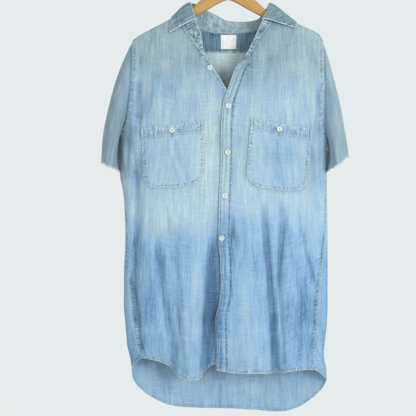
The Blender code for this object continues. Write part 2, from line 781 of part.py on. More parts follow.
def make_fray(side, hem, along, facing):
    """A narrow strip below the sleeve's raw hem, with a loose thread under each of its faces."""
    along = along / np.linalg.norm(along, axis=1, keepdims=True)
    fine = 2
    count = len(hem) * fine
    place = np.arange(count) / fine
    low = np.floor(place).astype(int) % len(hem)
    high = (low + 1) % len(hem)
    mix = (place % 1)[:, None]
    rows = [a[low] * (1 - mix) + a[high] * mix for a in (hem, along, facing)]
    top = rows[0] + rows[1] * LAYER_GAP
    foot = top + rows[1] * FRAY_STRIP
    grid = np.array([top, foot])
    normals = np.array([rows[2], rows[2]])
    item = wall("fray_" + side, closed(grid), closed(normals), CLOTH, "thread", tube=True)
    bm = bmesh.new()
    bm.from_mesh(item.data)
    bm.normal_update()
    centre = foot.mean(axis=0) * MM
    rim = [face for face in bm.faces if face.normal.z < -0.5]
    rim.sort(key=lambda face: math.atan2(face.calc_center_median().y - centre[1],
                                         face.calc_center_median().x - centre[0]))
    shift = np.random.default_rng(FRAY_SEED[side])
    for face in rim:
        length = shift.uniform(*FRAY_LENGTH)
        lean = shift.uniform(-FRAY_LEAN, FRAY_LEAN, 2)
        bmesh.ops.inset_individual(bm, faces=[face], thickness=0.15 * MM)
        middle = face.calc_center_median()
        for vert in face.verts:
            vert.co = middle + (vert.co - middle) * FRAY_TIP
            vert.co.z -= length * MM
            vert.co.x += lean[0] * length * MM
            vert.co.y += lean[1] * length * MM
    bmesh.ops.recalc_face_normals(bm, faces=bm.faces)
    bm.to_mesh(item.data)
    bm.free()


# ---------------------------------------------------------------- collar

def neckline():
    """Turn, drop and place of every sample round the neck, from the left end to the right."""
    top = BACK_NECK["rows"][0][1]
    ends = {}
    for side in ("left", "right"):
        drops = front_grid(side)[1][:, 0]
        drops = drops[drops <= BAND_END_DROP[side]]
        turns = turn_at(read(FRONT_EDGE, side, drops), drops)
        ends[side] = np.array([turns, drops, 3 * (drops - top) / (drops[-1] - top)])
    back_turn, back_drop = neck_samples()
    back = np.array([back_turn, back_drop, 3 + 4 * np.linspace(0, 1, len(back_turn))])
    ends["left"][2] = 3 - ends["left"][2]
    ends["right"][2] += 7
    return np.concatenate([ends["left"][:, ::-1], back, ends["right"]], axis=1)


def roll_line(place):
    return np.stack([read(ROLL, "x", place), read(ROLL, "y", place), -read(ROLL, "drop", place)], axis=-1)


def strip_normals(grid, inside):
    """Normals of an open strip, turned away from a point inside it."""
    along = np.gradient(grid, axis=1)
    down = np.gradient(grid, axis=0)
    normals = np.cross(along, down)
    normals /= np.linalg.norm(normals, axis=-1, keepdims=True)
    away = np.sign(((grid - inside) * normals).sum())
    return normals * away


NECK_MIDDLE = np.array([2.0, -8.0, -150.0])
BAND_THICK = 1.8
BAND_BULGE = 0.5         # the band is a little round between its foot and its free edge
BAND_CLEAR = 0.7         # its foot stands this far off the neck seam


def make_neckband():
    turn, drop, place = neckline()
    foot = body(turn, drop)
    facing = body_normal(turn, drop)
    top = roll_line(place)
    rise = top - foot
    rise /= np.linalg.norm(rise, axis=1, keepdims=True)
    foot = foot + rise * BAND_CLEAR
    grid = np.array([top, (top + foot) / 2 + facing * BAND_BULGE, foot])
    wall("neckband", grid, strip_normals(grid, NECK_MIDDLE), BAND_THICK, "cloth_pale")


LEAF_STEPS = (0.0, 0.1, 0.25, 0.5, 0.75, 1.0)
LEAF_COLUMNS = 33
LEAF_RISE = (1.2, 5.0)   # above the band's edge: where the leaf starts, and its highest pull
LEAF_TURN = (-1.5, 10.0) # outwards from the band's edge, at the same two places
LEAF_OFF = 2.0           # its outer edge stands this far off the shirt
LEAF_INSIDE = NECK_MIDDLE - np.array([0, 0, 60.0])


def make_leaf():
    """The collar leaf starts just above the band's free edge and falls over it."""
    start, end = LEAF_EDGE["rows"][0][0], LEAF_EDGE["rows"][-1][0]
    place = np.linspace(start, end, LEAF_COLUMNS)
    roll = roll_line(place)
    edge_turn, edge_drop = read(LEAF_EDGE, "turn", place), read(LEAF_EDGE, "drop", place)
    edge = body(edge_turn, edge_drop) + body_normal(edge_turn, edge_drop) * (LEAF_THICK + LEAF_OFF)
    along = np.gradient(roll, axis=0)
    outward = np.stack([along[:, 1], -along[:, 0], np.zeros(len(place))], axis=1)
    outward /= np.linalg.norm(outward, axis=1, keepdims=True)
    outward *= np.sign((outward * (roll - NECK_MIDDLE)).sum(axis=1, keepdims=True))
    along /= np.linalg.norm(along, axis=1, keepdims=True)
    up = np.array([0.0, 0.0, 1.0]) - along * along[:, 2:]
    up /= np.linalg.norm(up, axis=1, keepdims=True)
    begin, control = (roll + up * (LEAF_THICK + rise) + outward * turn
                      for rise, turn in zip(LEAF_RISE, LEAF_TURN))
    grid = np.array([bend(begin, control, edge, t) for t in LEAF_STEPS])
    wall("collar_leaf", grid, strip_normals(grid, LEAF_INSIDE), LEAF_THICK, "cloth_pale")


# ---------------------------------------------------------------- pieces that lie on the fronts

def laid_on_front(name, x, drop, out, thick, colour):
    turns = turn_at(x, drop)
    normals = body_normal(turns, drop)
    points = lift(body(turns, drop), normals, np.broadcast_to(out, turns.shape))
    return wall(name, points, normals, thick, colour)


PLACKET_COLUMNS = 4


def make_placket():
    drops = front_grid("right")[1][:, -1]
    drops = np.concatenate([[PLACKET_TOP_DROP], drops[drops > PLACKET_TOP_DROP + 4]])
    edge = read(FRONT_EDGE, "right", drops)
    share = np.linspace(0, 1, PLACKET_COLUMNS)
    x = edge[:, None] + SEAM + share * PLACKET_WIDTH
    hem = read(FRONT_HEM, "drop", x[-1], rows="right")
    drop = np.repeat(drops[:, None], len(share), axis=1)
    drop[-1] = hem
    laid_on_front("placket", x, drop, LAYER_GAP + PLACKET_THICK, PLACKET_THICK, "cloth_pale")


POCKET_COLUMNS = 11
POCKET_ROWS = np.array([0, 0.1, 0.28, 0.46, 0.62, 0.76, 0.87, 0.95, 1.0])


def make_pocket(side):
    corner = POCKETS[side]
    across = np.linspace(0, 1, POCKET_COLUMNS)
    top = np.outer(1 - across, corner["top_outer"]) + np.outer(across, corner["top_inner"])
    low = np.outer(1 - across, corner["low_outer"]) + np.outer(across, corner["low_inner"])
    # the lower corners are rounded by raising the foot of each column near the sides
    near = np.minimum(across, 1 - across) / POCKET_CORNER
    raised = np.where(near < 1, 1 - np.sqrt(np.clip(1 - (1 - near) ** 2, 0, 1)), 0)
    width = abs(corner["top_outer"][0] - corner["top_inner"][0])
    foot = low.copy()
    foot[:, 1] += POCKET_SAG * np.sin(math.pi * across) - raised * POCKET_CORNER * width
    grid = top[None] + (foot - top)[None] * POCKET_ROWS[:, None, None]
    laid_on_front("pocket_" + side, grid[..., 0], grid[..., 1], POCKET_GAP + POCKET_THICK,
                  POCKET_THICK, "cloth_pale")


# Half of a button's section, as shares of its radius and its thickness
BUTTON_PROFILE = ((0.0, 0.0), (0.72, 0.0), (1.0, 0.45), (1.0, 0.8), (0.86, 1.0), (0.62, 0.72), (0.0, 0.62))


def make_button(name, x, drop, out):
    """A turned disc with a raised rim and a dished middle, facing out of the cloth."""
    turn = turn_at(x, drop)
    normal = body_normal(turn, drop)
    seat = body(turn, drop) + normal * out
    bm = bmesh.new()
    verts = [bm.verts.new((r * BUTTON_RADIUS * MM, 0, h * BUTTON_THICK * MM)) for r, h in BUTTON_PROFILE]
    edges = [bm.edges.new(pair) for pair in zip(verts, verts[1:])]
    bmesh.ops.spin(bm, geom=verts + edges, axis=(0, 0, 1), cent=(0, 0, 0), angle=math.tau, steps=14,
                   use_merge=True)
    bmesh.ops.remove_doubles(bm, verts=bm.verts, dist=1e-6)
    tilt = Vector((0, 0, 1)).rotation_difference(Vector(normal)).to_matrix().to_4x4()
    bmesh.ops.transform(bm, matrix=Matrix.Translation(Vector(seat * MM)) @ tilt, verts=bm.verts)
    finish(name, bm, "button", smooth_angle=40)


LABEL_SIDES = (-16.0, 20.0)
LABEL_DROPS = (173.0, 188.0, 205.0)
LABEL_THICK = 1.0


def make_label():
    """A small bare patch on the inner side of the yoke, just below the neck seam."""
    x, drop = np.meshgrid(np.linspace(*LABEL_SIDES, 5), LABEL_DROPS)
    turns = turn_at(x, drop, back=True)
    normals = body_normal(turns, drop)
    points = lift(body(turns, drop), normals, np.full(turns.shape, -CLOTH - LAYER_GAP))
    wall("label", points, normals, LABEL_THICK, "label")


# ---------------------------------------------------------------- hanger

# Corners of the arms' section, as shares of the hanger's thickness and of the arm's height
HANGER_SECTION = ((-0.5, 0.14), (-0.5, 0.7), (-0.26, 1.0), (0.26, 1.0), (0.5, 0.7), (0.5, 0.14),
                  (0.3, 0.0), (-0.3, 0.0))


def make_hanger():
    """Flat arms with rounded edges, drawn by their upper and lower edge."""
    grid = []
    for row in HANGER["rows"]:
        arm = dict(zip(HANGER["columns"], row))
        grid.append([(arm["x"], y * HANGER_THICK, -arm["bottom"] + (arm["bottom"] - arm["top"]) * h)
                     for y, h in HANGER_SECTION])
    grid = np.array(grid)
    bm = bmesh.new()
    corners = sheet(bm, closed(grid))
    bmesh.ops.remove_doubles(bm, verts=corners, dist=1e-6)
    bmesh.ops.holes_fill(bm, edges=[edge for edge in bm.edges if edge.is_boundary], sides=len(HANGER_SECTION))
    finish("hanger_wood", bm, "wood", smooth_angle=35)


SHANK = (0.3, 8.0, 14.0)         # heights of the shank's points above the wood
SHANK_TOP = 6.0                  # the shank ends this far below the bend
HOOK_TURNS = (-98.0, 163.0, 19)  # the bend's first and last angle, and its points


def make_hook():
    """Bent wire: a straight shank out of the wood, then an open hook."""
    centre = -(HOOK_RADIUS - WIRE_RADIUS)
    wood = -HANGER["rows"][len(HANGER["rows"]) // 2][1]
    route = [(0.0, wood + height) for height in SHANK] + [(0.0, centre - HOOK_RADIUS - SHANK_TOP)]
    for angle in np.radians(np.linspace(*HOOK_TURNS)):
        route.append((HOOK_RADIUS * math.cos(angle), centre + HOOK_RADIUS * math.sin(angle)))
    curve = bpy.data.curves.new("hanger_hook", "CURVE")
    curve.dimensions = "3D"
    curve.bevel_depth = WIRE_RADIUS * MM
    curve.bevel_resolution = 2
    curve.use_fill_caps = True
    spline = curve.splines.new("POLY")
    spline.points.add(len(route) - 1)
    for point, (x, z) in zip(spline.points, route):
        point.co = (x * MM, 0.0, z * MM, 1.0)
    curve.materials.append(material("metal"))
    item = bpy.data.objects.new("hanger_hook", curve)
    bpy.context.scene.collection.objects.link(item)


def main():
    clear_scene()
    make_fronts()
    make_back()
    make_yoke()
    make_placket()
    for side in ("left", "right"):
        make_sleeve(side)
        make_pocket(side)
    make_neckband()
    make_leaf()
    for row in BUTTONS["rows"]:
        make_button(*row)
    make_label()
    make_hanger()
    make_hook()


main()
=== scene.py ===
# %% [markdown]
# # A chambray work shirt on a wooden hanger
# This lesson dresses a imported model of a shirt. The real one is old and bleached by the sun, and its
# sleeves were cut off. Each cut piece of cloth is made again as a fine sheet, on the same body surface
# as the model, so that it takes the model's place with no fitting.

# %% Load the model
import math

import bmesh
import bpy
import numpy as np
from mathutils import Matrix, Vector


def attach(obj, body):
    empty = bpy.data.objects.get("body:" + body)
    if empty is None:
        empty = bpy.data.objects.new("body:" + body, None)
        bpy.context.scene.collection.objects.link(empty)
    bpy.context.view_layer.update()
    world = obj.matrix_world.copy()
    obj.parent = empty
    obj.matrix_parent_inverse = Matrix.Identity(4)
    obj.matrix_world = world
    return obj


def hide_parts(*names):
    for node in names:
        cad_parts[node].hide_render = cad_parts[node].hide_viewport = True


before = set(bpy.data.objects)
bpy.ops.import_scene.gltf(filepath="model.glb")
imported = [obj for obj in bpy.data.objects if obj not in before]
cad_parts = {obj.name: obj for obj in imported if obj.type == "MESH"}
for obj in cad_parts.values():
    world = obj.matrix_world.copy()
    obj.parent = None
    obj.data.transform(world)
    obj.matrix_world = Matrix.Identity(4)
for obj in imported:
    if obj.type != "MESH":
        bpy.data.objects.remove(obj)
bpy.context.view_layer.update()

MM = 0.001

# %% [markdown]
# ## The camera
# The photograph was taken square on, level with the middle of the shirt. The camera comes first, so that
# every later step can be looked at from the same place.

# %% Camera
def in_scene(name, data):
    """A new object at the origin, linked to the scene."""
    item = bpy.data.objects.new(name, data)
    bpy.context.scene.collection.objects.link(item)
    return item


camera = in_scene("camera", bpy.data.cameras.new("camera"))
camera.location = (-0.046, -1.8, -0.575)
camera.rotation_euler = (math.radians(90), 0, 0)
camera.data.sensor_width = 36
camera.data.lens = 67.73
bpy.context.scene.camera = camera
print("camera lens", camera.data.lens)

# %% [markdown]
# ## Sizes of the body surface
# A place on the shirt is a turn round the body and a drop below the hook, in degrees and millimetres.
# Turn 0 is the middle of the front, 90 the viewer's right and 180 the middle of the back. The rings say
# how far the cloth stands out at each drop. They are the same numbers as in the model's source.

# %% Rings and folds
# drop, left, right, front, back
RINGS = np.array([
    (117, 84.0, 88.0, 13, 11), (127, 102.0, 105.5, 15, 13), (138, 125.3, 128.8, 18, 15),
    (152, 151.8, 158.7, 21, 17), (161, 169.1, 179.4, 23, 18), (170, 186.3, 198.9, 25, 19),
    (179, 203.5, 211.0, 26, 20), (191, 218.5, 217.3, 28, 22), (212, 228.0, 227.7, 31, 24),
    (235, 234.6, 235.8, 34, 26), (281, 243.8, 241.5, 39, 29), (327, 249.0, 241.5, 43, 31),
    (368, 250.0, 239.2, 46, 32), (416, 249.5, 234.6, 48, 33), (437, 249.0, 231.0, 49, 33),
    (501, 247.5, 226.4, 50, 34), (520, 244.0, 226.6, 50, 34), (557, 239.2, 226.8, 50, 34),
    (637, 236.9, 227.7, 50, 34), (722, 240.0, 227.7, 50, 34), (798, 240.3, 227.7, 50, 35),
    (833, 238.0, 226.5, 49, 35), (869, 234.6, 223.1, 49, 35), (888, 233.0, 221.0, 48, 35),
    (906, 228.8, 219.2, 48, 35), (925, 224.7, 220.8, 47, 35), (943, 222.4, 224.5, 46, 35),
    (961, 221.3, 225.0, 45, 35), (1055, 218.5, 221.0, 42, 35)])
# side (0 front, 1 back), top x, top drop, end x, end drop, half width, out, fade at the top, at the end
FOLDS = np.array([
    (0, -34, 590, -48, 960, 17, -13, 170, 0), (0, -82, 640, -86, 960, 24, 7, 150, 0),
    (0, -163, 600, -122, 960, 10, -8, 110, 0), (0, -206, 420, -214, 870, 9, -7, 70, 60),
    (0, -222, 330, -196, 560, 8, 4, 60, 90), (0, 74, 520, 108, 960, 11, -8, 90, 0),
    (0, 122, 530, 113, 800, 12, -8, 60, 90), (0, 92, 540, 88, 640, 9, 4, 60, 60),
    (0, 111, 740, 110, 960, 17, -5, 90, 0), (0, 184, 520, 216, 610, 9, -6, 50, 40),
    (0, 158, 570, 194, 760, 11, -5, 70, 80), (0, 193, 430, 190, 560, 8, -5, 40, 60),
    (0, 52, 600, 46, 960, 22, 4, 120, 0), (0, -150, 215, -172, 400, 16, 4, 50, 80),
    (0, 120, 190, 62, 330, 14, -4, 40, 70), (0, 207, 280, 203, 440, 8, -4, 60, 60),
    (0, -205, 250, -204, 400, 9, -4, 50, 60), (1, -70, 240, -95, 1050, 30, 6, 120, 0),
    (1, 55, 240, 80, 1050, 26, 7, 120, 0), (1, 5, 215, -10, 900, 18, -6, 60, 250),
    (1, -150, 330, -160, 1000, 20, -6, 120, 60), (1, 140, 330, 150, 1000, 22, -6, 120, 60)])
ROUNDNESS = 2.5          # exponent of the rings: 2 is an ellipse, more is boxier
SIDE_FADE = 1.8          # folds fade out where the surface turns to the side; more keeps them longer
print(len(RINGS), "rings and", len(FOLDS), "large folds")

# %% Seams and edges
# the side seams as drop, left and right, in turns away from the middle of the front
SIDE_SEAM = np.array([
    (416, 90, 90), (437, 89, 90), (500, 86, 84), (620, 81, 75), (700, 77, 67), (760, 66, 62),
    (825, 61.5, 59.5), (885, 58.5, 59.5), (915, 55.5, 58), (945, 55, 56.5)])
# the armhole seams as drop, left and right, in distances from the middle
ARMHOLE = np.array([
    (191, 218.5, 217.3), (214, 218.4, 216.8), (238, 218.4, 216.4), (284, 219.9, 217.4),
    (330, 224.4, 216.8), (370, 232.7, 218.0), (393, 240.5, 220.2), (404, 245.4, 221.8),
    (416, 249.5, 225.0), (437, 249.5, 231.0)])
SHOULDER = 191.0
UNDERARM = {"left": 416.0, "right": 437.0}
YOKE_SHARE = 0.1         # the yoke's seam meets the armhole at this share of its depth
# inner edges of the fronts: drop, left, right
FRONT_EDGE = np.array([
    (127, -101.5, 105.0), (134, -102.6, 105.2), (146, -103.1, 101.6), (152, -102.8, 98.9),
    (168, -99.8, 87.0), (187, -86.8, 74.0), (206, -73.0, 62.0), (220, -62.5, 53.5),
    (236, -49.5, 42.5), (248, -41.0, 26.5), (259, -33.9, 16.5), (279, -21.0, 8.1),
    (305, -5.3, -1.0), (322, 5.0, -7.0), (339, 11.5, -12.3), (396, 8.1, -16.9),
    (481, 7.0, -18.0), (557, 3.6, -21.4), (640, 2.5, -22.5), (700, 6.6, -18.4),
    (758, 6.6, -18.4), (787, 2.5, -22.5), (828, -4.6, -29.6), (877, -3.1, -28.1),
    (960, -2.2, -27.2)])
BAND_END = {"left": 229.0, "right": 236.0}     # the neckband ends at these drops
# the back's neckline: x, drop
BACK_NECK = np.array([
    (-101.5, 127.0), (-99.5, 131.5), (-94.0, 138.5), (-81.0, 151.0), (-60.0, 162.5), (-30.0, 167.8),
    (2.0, 168.8), (35.0, 167.8), (63.0, 162.5), (85.0, 151.0), (97.5, 138.5), (103.0, 131.5),
    (105.0, 127.0)])
# hems of the fronts: x, drop
FRONT_HEM = {
    "left": np.array([(-194, 914.5), (-172, 918.9), (-146, 927.2), (-131, 943.2), (-118, 955.6),
                      (-97, 959.8), (-75, 960.6), (-59, 944.0), (-29, 925.5), (10, 925.0)]),
    "right": np.array([(-28, 939.5), (-12, 941.0), (16, 945.7), (70, 946.4), (121, 947.0),
                       (147, 942.7), (185, 940.4), (194, 941.5)])}
# hem of the back: turn, drop
BACK_HEM = np.array([
    (56.5, 941.5), (62, 945.2), (70, 955.6), (79, 963.5), (90, 971.0), (108, 996.4), (122, 1017.8),
    (136, 1038.5), (149, 1050.0), (158, 1051.6), (172, 1047.4), (182, 1044.0), (193, 1043.7),
    (205, 1041.5), (215, 1034.0), (228, 1018.3), (245, 993.6), (258, 974.5), (270, 957.2),
    (279, 941.0), (288, 930.7), (304.5, 914.5)])
SEAM_LOW = {"left": 914.5, "right": 941.5}
LAST_ROW = 872.0         # below this row the grid spreads down to the hems
print("side seams end at", SEAM_LOW)

# %% [markdown]
# ## The body surface as functions
# One function gives the point for a turn and a drop, and a second one the way out of the cloth there.
# Everything that lies on the shirt asks the same two functions, so it can't float or sink.

# %% Curves through given points
def smooth(xs, ys, at):
    """A smooth curve through given points, which never swings past them."""
    xs, ys = np.asarray(xs, float), np.asarray(ys, float)
    at = np.clip(np.asarray(at, float), xs[0], xs[-1])
    step = np.diff(xs)
    rise = np.diff(ys) / step
    slope = np.zeros_like(ys)
    slope[1:-1] = np.where(rise[:-1] * rise[1:] > 0,
                           2 * rise[:-1] * rise[1:] / (rise[:-1] + rise[1:] + 1e-12), 0)
    slope[0], slope[-1] = rise[0], rise[-1]
    i = np.clip(np.searchsorted(xs, at, side="right") - 1, 0, len(xs) - 2)
    t = (at - xs[i]) / step[i]
    return ((2 * t**3 - 3 * t**2 + 1) * ys[i] + (t**3 - 2 * t**2 + t) * step[i] * slope[i]
            + (3 * t**2 - 2 * t**3) * ys[i + 1] + (t**3 - t**2) * step[i] * slope[i + 1])


def ease(value, low, high):
    """0 below low, 1 above high and an even S between them."""
    t = np.clip((np.asarray(value, float) - low) / (high - low), 0, 1)
    return t * t * (3 - 2 * t)


def column(table, place, at):
    """One column of a table, read at any drop."""
    return smooth(table[:, 0], table[:, place], at)


print("half way up an S", float(ease(0.5, 0, 1)))

# %% Body surface
def folds(back, x, drop):
    """How far the large folds push out of the front (0) or the back (1)."""
    out = np.zeros(np.broadcast(x, drop).shape)
    for side, x0, d0, x1, d1, half, push, fade_top, fade_end in FOLDS[FOLDS[:, 0] == back]:
        middle = x0 + (x1 - x0) * (drop - d0) / (d1 - d0)
        share = ease(drop, d0, d0 + fade_top)
        if fade_end:
            share = share * (1 - ease(drop, d1 - fade_end, d1))
        out = out + push * share * np.exp(-((x - middle) / half) ** 2)
    return out


def ring(drop):
    """Middle and half width of the body at a drop."""
    left, right = column(RINGS, 1, drop), column(RINGS, 2, drop)
    return (right - left) / 2, (right + left) / 2


def body(turn, drop):
    """Point of the outer surface in millimetres."""
    turn, drop = np.broadcast_arrays(np.asarray(turn, float), np.asarray(drop, float))
    middle, half = ring(drop)
    sine, cosine = np.sin(np.radians(turn)), np.cos(np.radians(turn))
    x = middle + half * np.sign(sine) * np.abs(sine) ** (2 / ROUNDNESS)
    round_off = np.abs(cosine) ** (2 / ROUNDNESS)
    flat = np.minimum(1.0, np.abs(cosine) * SIDE_FADE)
    front = column(RINGS, 3, drop) * round_off + folds(0, x, drop) * flat
    back = column(RINGS, 4, drop) * round_off + folds(1, x, drop) * flat
    return np.stack([x, np.where(cosine >= 0, -front, back), -drop], axis=-1)


def body_normal(turn, drop):
    """The way out of the cloth, from two short steps along the surface."""
    around = body(np.add(turn, 1.0), drop) - body(np.add(turn, -1.0), drop)
    down = body(turn, np.add(drop, 1.5)) - body(turn, np.add(drop, -1.5))
    across = np.cross(down, around)
    return across / np.linalg.norm(across, axis=-1, keepdims=True)


def turn_at(x, drop, back=False):
    """The turn at which the ring at this drop reaches x, on its front or its back."""
    middle, half = ring(drop)
    share = np.clip((np.asarray(x, float) - middle) / half, -1, 1)
    turn = np.degrees(np.arcsin(np.sign(share) * np.abs(share) ** (ROUNDNESS / 2)))
    return 180 - turn if back else turn


print("chest point", body(20.0, 400.0).round(1))

# %% Seams as turns
def armhole_turn(side, drop):
    """Turn of the armhole seam on the front; the back has the same one behind it."""
    sign, place = (-1, 1) if side == "left" else (1, 2)
    turn = np.abs(turn_at(sign * column(ARMHOLE, place, drop), drop))
    return np.where((drop <= SHOULDER + 0.01) | (drop >= UNDERARM[side] - 0.01), 90.0, turn)


def side_turn(side, drop):
    """Turn of a front's outer edge: shoulder seam, then armhole, then side seam."""
    drop = np.asarray(drop, float)
    seam = column(SIDE_SEAM, 1 if side == "left" else 2, drop)
    return np.where(drop <= SHOULDER, 90.0,
                    np.where(drop <= UNDERARM[side], armhole_turn(side, drop), seam))


print("left side seam at 600 and 900", side_turn("left", np.array([600.0, 900.0])).round(1))

# %% [markdown]
# ## Small creases
# Washed cotton never hangs smooth. Three kinds of relief lie on the body surface. One table holds short
# straight creases and a second one longer folds that bend as they fall, both read off the photograph.
# Smooth random hills give the rest, long ones that hang down and small ones that cockle between the
# threads. The random table has a fixed seed, so each run gives the same cloth.

# %% Random hills
LATTICE_SIZE = 48
LATTICE = np.random.default_rng(3).uniform(-1, 1, (LATTICE_SIZE,) * 3)


def hills(points, size, shift=0):
    """Smooth random hills from -1 to 1; size is their width along x, y and z in millimetres."""
    place = points / np.array(size, float) + 10 * LATTICE_SIZE + shift * 7.3
    low = np.floor(place).astype(int)
    part = place - low
    part = part * part * (3 - 2 * part)
    total = 0
    for corner in np.ndindex(2, 2, 2):
        weight = np.prod(np.where(corner, part, 1 - part), axis=-1)
        i, j, k = np.moveaxis((low + corner) % LATTICE_SIZE, -1, 0)
        total = total + weight * LATTICE[i, j, k]
    return total


print("hill at the origin", round(float(hills(np.zeros(3), (10, 10, 10))), 3))

# %% Short creases
# x, drop at both ends, half width, out
CREASES = np.array([
    (-232, 300, -246, 410, 5, -2.5), (-205, 262, -214, 330, 7, 2), (-196, 330, -214, 385, 6, -2),
    (-240, 430, -225, 560, 5, 2.5), (-226, 400, -236, 520, 5, -2.5), (-186, 560, -196, 680, 7, 2),
    (-210, 560, -222, 660, 5, -2), (-215, 640, -232, 760, 6, 2.5), (-196, 700, -206, 860, 6, -2.5),
    (-178, 620, -170, 760, 7, 2), (-150, 700, -128, 900, 6, 2.5), (-140, 560, -128, 690, 7, -1.5),
    (-100, 570, -104, 760, 8, 1.8), (-118, 760, -104, 930, 6, -2.2), (-62, 560, -66, 700, 7, -1.6),
    (-50, 640, -66, 860, 6, 2.2), (-28, 700, -40, 900, 5, -2.5), (-12, 560, -20, 700, 5, 1.6),
    (22, 640, 24, 840, 7, 1.6), (30, 560, 42, 700, 7, -1.4), (60, 560, 84, 760, 6, 2.0),
    (66, 760, 70, 930, 7, -1.6), (96, 640, 104, 800, 5, 2.2), (124, 640, 122, 800, 6, 2.5),
    (134, 800, 140, 930, 7, -1.8), (132, 560, 150, 700, 7, 1.8), (160, 700, 168, 900, 7, -1.8),
    (176, 600, 206, 760, 6, 2.2), (196, 760, 200, 900, 6, -2.2), (206, 540, 222, 640, 5, 2.2),
    (214, 460, 220, 560, 5, -2.2), (196, 300, 208, 400, 6, 2.4), (222, 300, 214, 420, 4, -2.2),
    (154, 152, 152, 208, 4, 1.6), (-120, 210, -110, 300, 12, 1.6), (-84, 240, -70, 340, 10, 1.4),
    (-150, 540, -158, 640, 9, 1.4), (70, 230, 60, 300, 9, 1.4), (96, 220, 110, 330, 12, -1.2),
    (-60, 300, -30, 420, 10, 1.4), (-26, 320, -22, 470, 6, -1.4), (26, 330, 34, 470, 8, -1.4)])


def creases(x, drop, table=CREASES):
    """Straight creases that fade at both ends."""
    out = np.zeros(np.broadcast(x, drop).shape)
    for x0, d0, x1, d1, half, push in table:
        length = math.hypot(x1 - x0, d1 - d0)
        along = ((x - x0) * (x1 - x0) + (drop - d0) * (d1 - d0)) / length ** 2
        beside = np.abs((x - x0) * (d1 - d0) - (drop - d0) * (x1 - x0)) / length
        share = ease(along, -0.1, 0.35) * (1 - ease(along, 0.65, 1.1))
        out = out + push * share * np.exp(-(beside / half) ** 1.6)
    return out


print(len(CREASES), "short creases")

# %% Longer folds
# half width and way out, then x and drop along each
RUNS = (
    (5.5, -4.2, (-197, 538), (-200, 585), (-207, 635), (-221, 669), (-223, 696), (-220, 743), (-210, 790),
     (-204, 837), (-197, 892)),
    (6, -2.6, (-172, 640), (-158, 690), (-153, 730), (-146, 800), (-141, 880)),
    (6, -2.2, (-190, 690), (-184, 740), (-190, 800), (-184, 860)),
    (7, -2.4, (-140, 760), (-134, 820), (-122, 880), (-112, 930)),
    (9, 2.4, (-104, 700), (-100, 800), (-92, 900)),
    (8, -3.6, (-36, 640), (-42, 720), (-50, 800), (-56, 870), (-58, 930)),
    (5, 2.2, (-76, 700), (-80, 800), (-82, 900)),
    (6, -3.0, (69, 540), (76, 580), (86, 640), (92, 690), (98, 760), (100, 850), (102, 930)),
    (4, -3.2, (126, 540), (124, 600), (121, 652), (115, 702), (114, 752), (120, 838), (124, 930)),
    (7, 2.2, (132, 700), (130, 780), (136, 860), (138, 930)),
    (12, 3.2, (71, 510), (76, 560), (82, 620)), (12, 2.6, (124, 520), (123, 570), (121, 620)),
    (8, 2.0, (160, 590), (170, 640), (180, 690), (192, 740)), (9, 2.4, (186, 530), (200, 570), (214, 606)),
    (4, -1.8, (158, 595), (169, 645), (179, 686), (194, 736), (198, 765)),
    (4, -1.8, (183, 541), (190, 575), (204, 625), (212, 648)),
    (10, 4.2, (-163, 620), (-150, 740), (-136, 850), (-122, 960)), (14, 1.8, (118, 196), (100, 240), (80, 290)),
    (4, -2.4, (172, 455), (178, 500), (184, 560)), (4, 1.8, (164, 455), (170, 510), (175, 560)),
    (5, -2.2, (8, 560), (9, 610), (4, 660), (5, 720)), (5, 1.8, (22, 560), (26, 640), (20, 740)),
    (4, -2.6, (-214, 440), (-212, 490), (-205, 545)), (4, 2.2, (-222, 430), (-221, 500), (-214, 560)),
    (4, -2.0, (-199, 420), (-203, 470), (-201, 520)), (5, -1.8, (-186, 300), (-196, 350), (-206, 400)),
    (5, 1.6, (-178, 320), (-190, 372), (-200, 420)), (7, -1.8, (-60, 270), (-48, 330), (-38, 400)),
    (6, 1.5, (-76, 290), (-62, 350), (-50, 410)), (6, -1.8, (60, 270), (44, 330), (34, 400)),
    (6, 1.6, (74, 250), (56, 320), (44, 390)), (5, -2.0, (205, 300), (200, 360), (206, 420)),
    (5, 1.6, (192, 270), (192, 330), (198, 390)), (5, -1.6, (-30, 430), (-34, 500), (-30, 560)),
    (6, -1.5, (-110, 560), (-112, 620), (-106, 690)), (6, -1.4, (30, 430), (36, 480), (34, 540)))


def near_line(x, drop, line):
    """Distance from points to a line of points, and how far along it they are."""
    flat_x, flat_d = np.ravel(x), np.ravel(drop)
    along = np.concatenate([[0], np.cumsum(np.hypot(*np.diff(line, axis=0).T))])
    best, where = np.full(len(flat_x), 1e9), np.zeros(len(flat_x))
    for (x0, d0), (x1, d1), start in zip(line, line[1:], along):
        long = max(math.hypot(x1 - x0, d1 - d0), 1e-6)
        t = np.clip(((flat_x - x0) * (x1 - x0) + (flat_d - d0) * (d1 - d0)) / long ** 2, 0, 1)
        gap = np.hypot(flat_x - x0 - t * (x1 - x0), flat_d - d0 - t * (d1 - d0))
        closer = gap < best
        best, where = np.where(closer, gap, best), np.where(closer, start + t * long, where)
    return best.reshape(np.shape(x)), where.reshape(np.shape(x))


NEAR_HEM = 880.0         # a longer fold that ends below this drop runs on to the hem


def runs(x, drop):
    """The longer folds. Those that end above the hem fade out there."""
    x, drop = np.broadcast_arrays(x, drop)
    out = np.zeros(x.shape)
    for half, push, *line in RUNS:
        line = np.array(line, float)
        distance, along = near_line(x, drop, line)
        long = np.hypot(*np.diff(line, axis=0).T).sum()
        share = ease(along, 0, 0.3 * long)
        if line[-1, 1] <= NEAR_HEM:
            share = share * (1 - ease(along, 0.75 * long, long * 1.01))
        out = out + push * share * np.exp(-(distance / half) ** 1.5)
    return out


print(len(RUNS), "longer folds")

